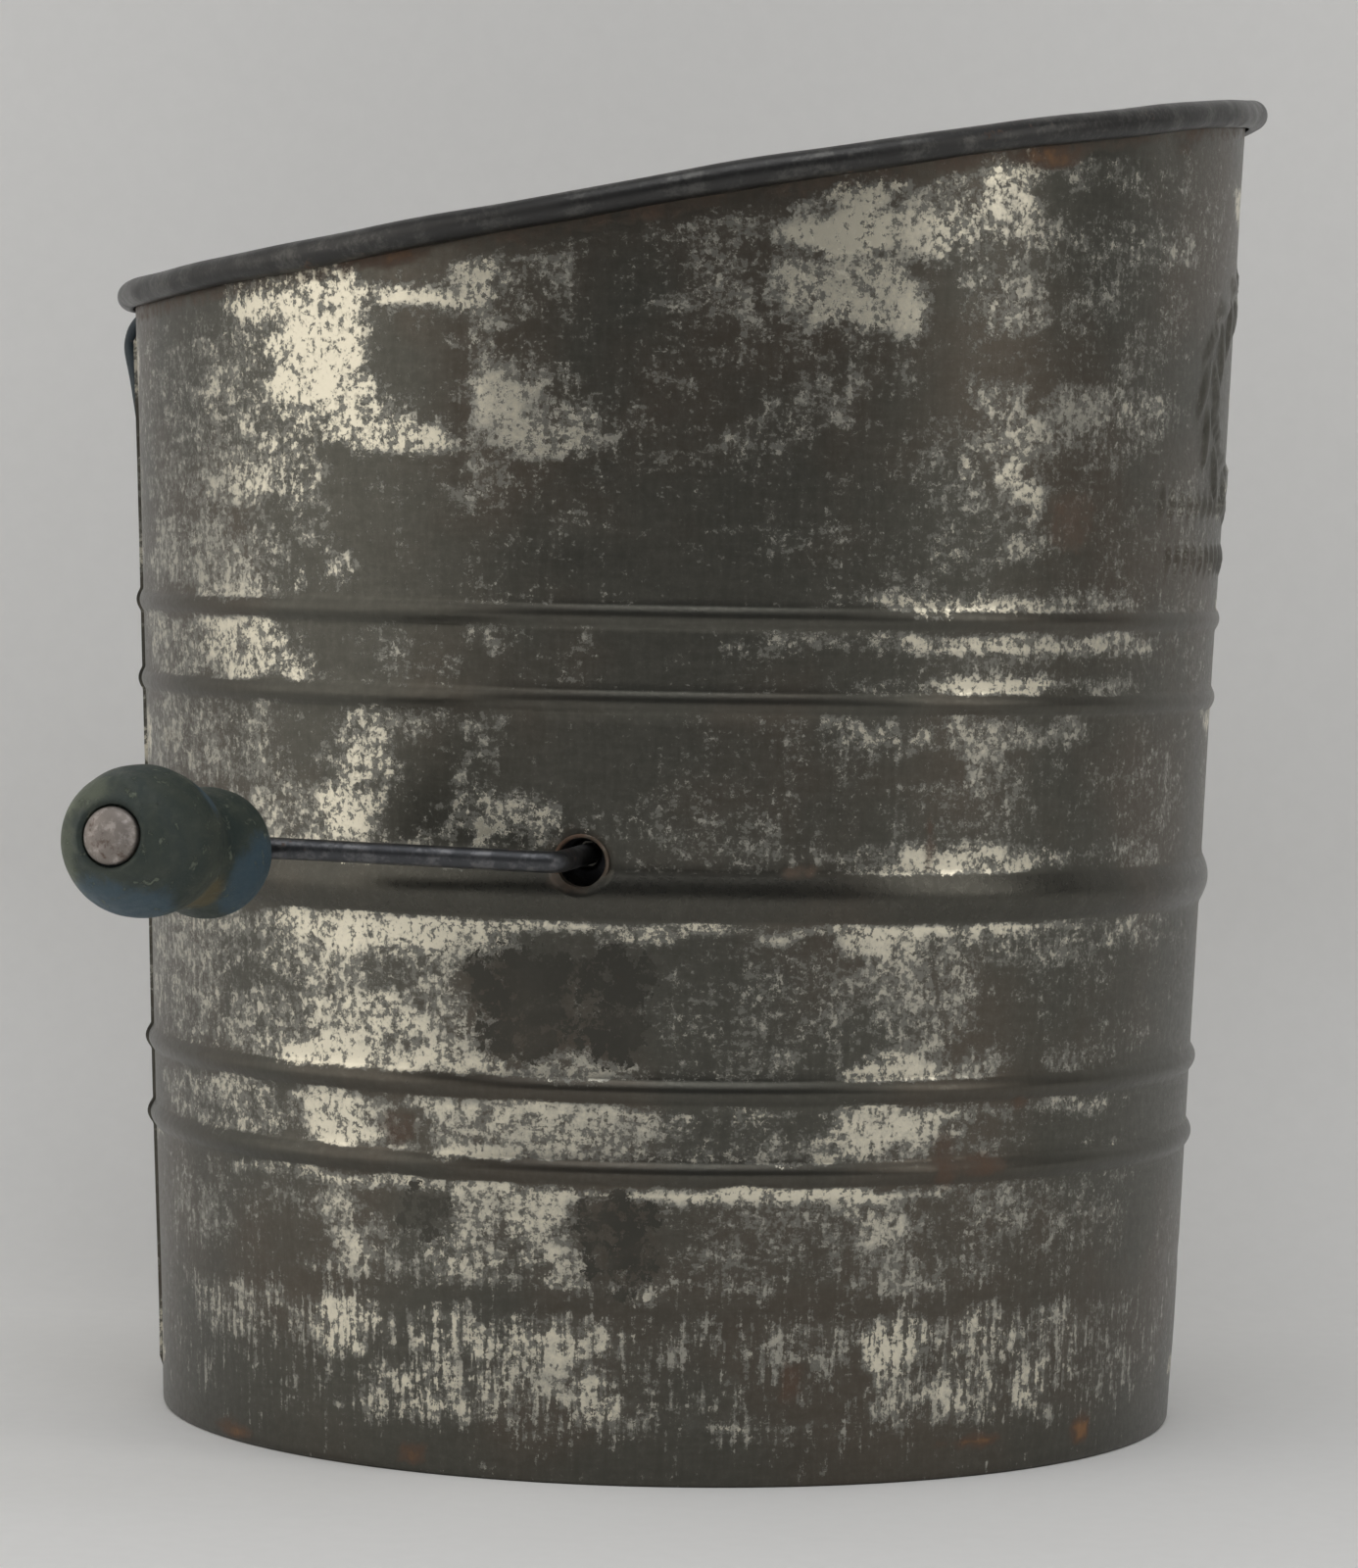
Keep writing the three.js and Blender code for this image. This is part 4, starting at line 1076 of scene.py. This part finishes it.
def strap():
    """The grip: a strap with rolled edges that follows the CAD's line."""
    shoulder = (strap_on_wall(138)[0] + 3, 139.6)
    bends = [strap_on_wall(138), shoulder, *GRIP_LINE, strap_on_wall(84.5)]
    loop = smooth_line(bends, 8)
    line = [strap_on_wall(125), strap_on_wall(131.5), *loop, strap_on_wall(80), strap_on_wall(75)]
    line = np.array(line)
    along = np.gradient(line, axis=0)
    along /= np.linalg.norm(along, axis=1)[:, None]
    across = np.stack([-along[:, 1], along[:, 0]], -1)
    half = STRAP_WIDTH / 2
    edge = [(half - 0.9 + 0.9 * math.cos(a), 0.9 * math.sin(a)) for a in np.linspace(-2.3, 2.3, 9)]
    far_edge = [(-x, -y) for x, y in edge]
    hollow = STRAP_THICKNESS / 2 - 0.1
    section = np.array([*edge, (0, hollow), *far_edge, (0, -hollow)])[::-1]
    rings = []
    out = np.array([math.cos(HANDLE_ANGLE), math.sin(HANDLE_ANGLE), 0])
    side = np.array([-out[1], out[0], 0])
    for (r, z), (nr, nz) in zip(line, across):
        for wide, thick in section:
            rings.append(out * (r + nr * thick) + side * wide + np.array([0, 0, z + nz * thick]))
    faces = capped_faces(len(line), len(section))
    piece("strap", np.array(rings), faces, "sifter_body", STRAP_PAINT, "painted_strap",
          ["handle_strap"], 60)


def rivets():
    """Two domed rivets, headed over inside the wall."""
    out = np.array([math.cos(HANDLE_ANGLE), math.sin(HANDLE_ANGLE), 0])
    for name, height in (("upper", 131), ("lower", 80)):
        head = wall_radius(height) + 0.6 + STRAP_THICKNESS
        tail = wall_radius(height) - TIN - 0.6
        loop = [(0.01, tail - 0.9), (1.6, tail - 0.85), (2.4, tail - 0.3), (2.4, tail),
                (1.5, tail), (1.5, head), (3.2, head), (3.15, head + 0.3),
                (2.5, head + 0.85), (1.4, head + 1.2), (0.01, head + 1.3)]
        points, faces = turned(loop, 32)
        points = turn_to(out, points) + np.array([0, 0, height])
        piece(f"rivet_{name}", points, faces, "sifter_body", STRAP_PAINT, "painted_strap",
              [f"handle_rivet_{name}"], 50)


# ------------------------------------------------------------ stage and light
def stage_sheet(name, line, half_width):
    """A sheet of paper that follows a line of (distance behind the sifter, height)."""
    columns = np.linspace(-half_width, half_width, 9)
    points = [(x, y, z) for y, z in line for x in columns]
    turn = np.array(Matrix.Rotation(CAMERA_AZIMUTH, 3, "Z"))
    points = (np.array(points) @ turn.T + AXIS) * MM
    mesh = bpy.data.meshes.new(name)
    mesh.from_pydata(points.tolist(), [], grid_faces(len(line), len(columns), wrap_columns=False))
    mesh.shade_smooth()
    mesh.materials.append(PAPER)
    placed(name, mesh)


def paper_sweep():
    """Pale paper: a wide floor, and a sheet that curves up from it behind the sifter."""
    bend_start, bend, top = 70, 60, 1500
    curve = []
    for k in range(17):
        angle = math.pi / 2 * k / 16
        curve.append((bend_start + bend * math.sin(angle), bend * (1 - math.cos(angle))))
    curve.append((bend_start + bend, top))
    stage_sheet("paper_floor", [(-5000, 0), (-300, 0), (0, 0), (bend_start, 0), (5000, 0)], 5000)
    stage_sheet("paper_backdrop", curve, 1500)


LIGHT_AIM_HEIGHT = 80


def softbox(name, theta, height, distance, width, tall, power, colour):
    """A soft light at an angle round the sifter from the camera's side."""
    data = bpy.data.lights.new(name, "AREA")
    data.shape = "RECTANGLE"
    data.size = width * MM
    data.size_y = tall * MM
    data.energy = power
    data.color = colour
    angle = math.radians(theta - 90) + CAMERA_AZIMUTH
    place = Vector(AXIS) + Vector((distance * math.cos(angle), distance * math.sin(angle), height))
    target = Vector(AXIS) + Vector((0, 0, LIGHT_AIM_HEIGHT))
    light = placed(name, data)
    light.location = place * MM
    light.rotation_euler = (target - place).to_track_quat("-Z", "Y").to_euler()


def studio_light():
    softbox("left_window", -84, 380, 950, 1500, 1100, 5.2, (1.0, 0.965, 0.91))
    softbox("right_window", 62, 470, 950, 330, 760, 1.52, (1.0, 0.975, 0.93))
    softbox("overhead", 0, 1100, 500, 1000, 800, 4.3, (0.98, 0.99, 1.0))
    world = bpy.data.worlds.new("room")
    world.use_nodes = True
    room = world.node_tree.nodes["Background"]
    room.inputs["Color"].default_value = (0.93, 0.96, 1.0, 1)
    room.inputs["Strength"].default_value = 0.12
    scene.world = world
    scene.view_settings.view_transform = "Standard"


# ------------------------------------------------------------ assembly
tin_body()
hole_lip()
rolled_rim()
woven_screen()
hoop_parts()
crank_wire()
shaft_rings()
agitator()
knob_parts()
strap()
rivets()
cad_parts["rim_wire"].data.materials.clear()
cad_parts["rim_wire"].data.materials.append(WIRE_STEEL)
paper_sweep()
studio_light()
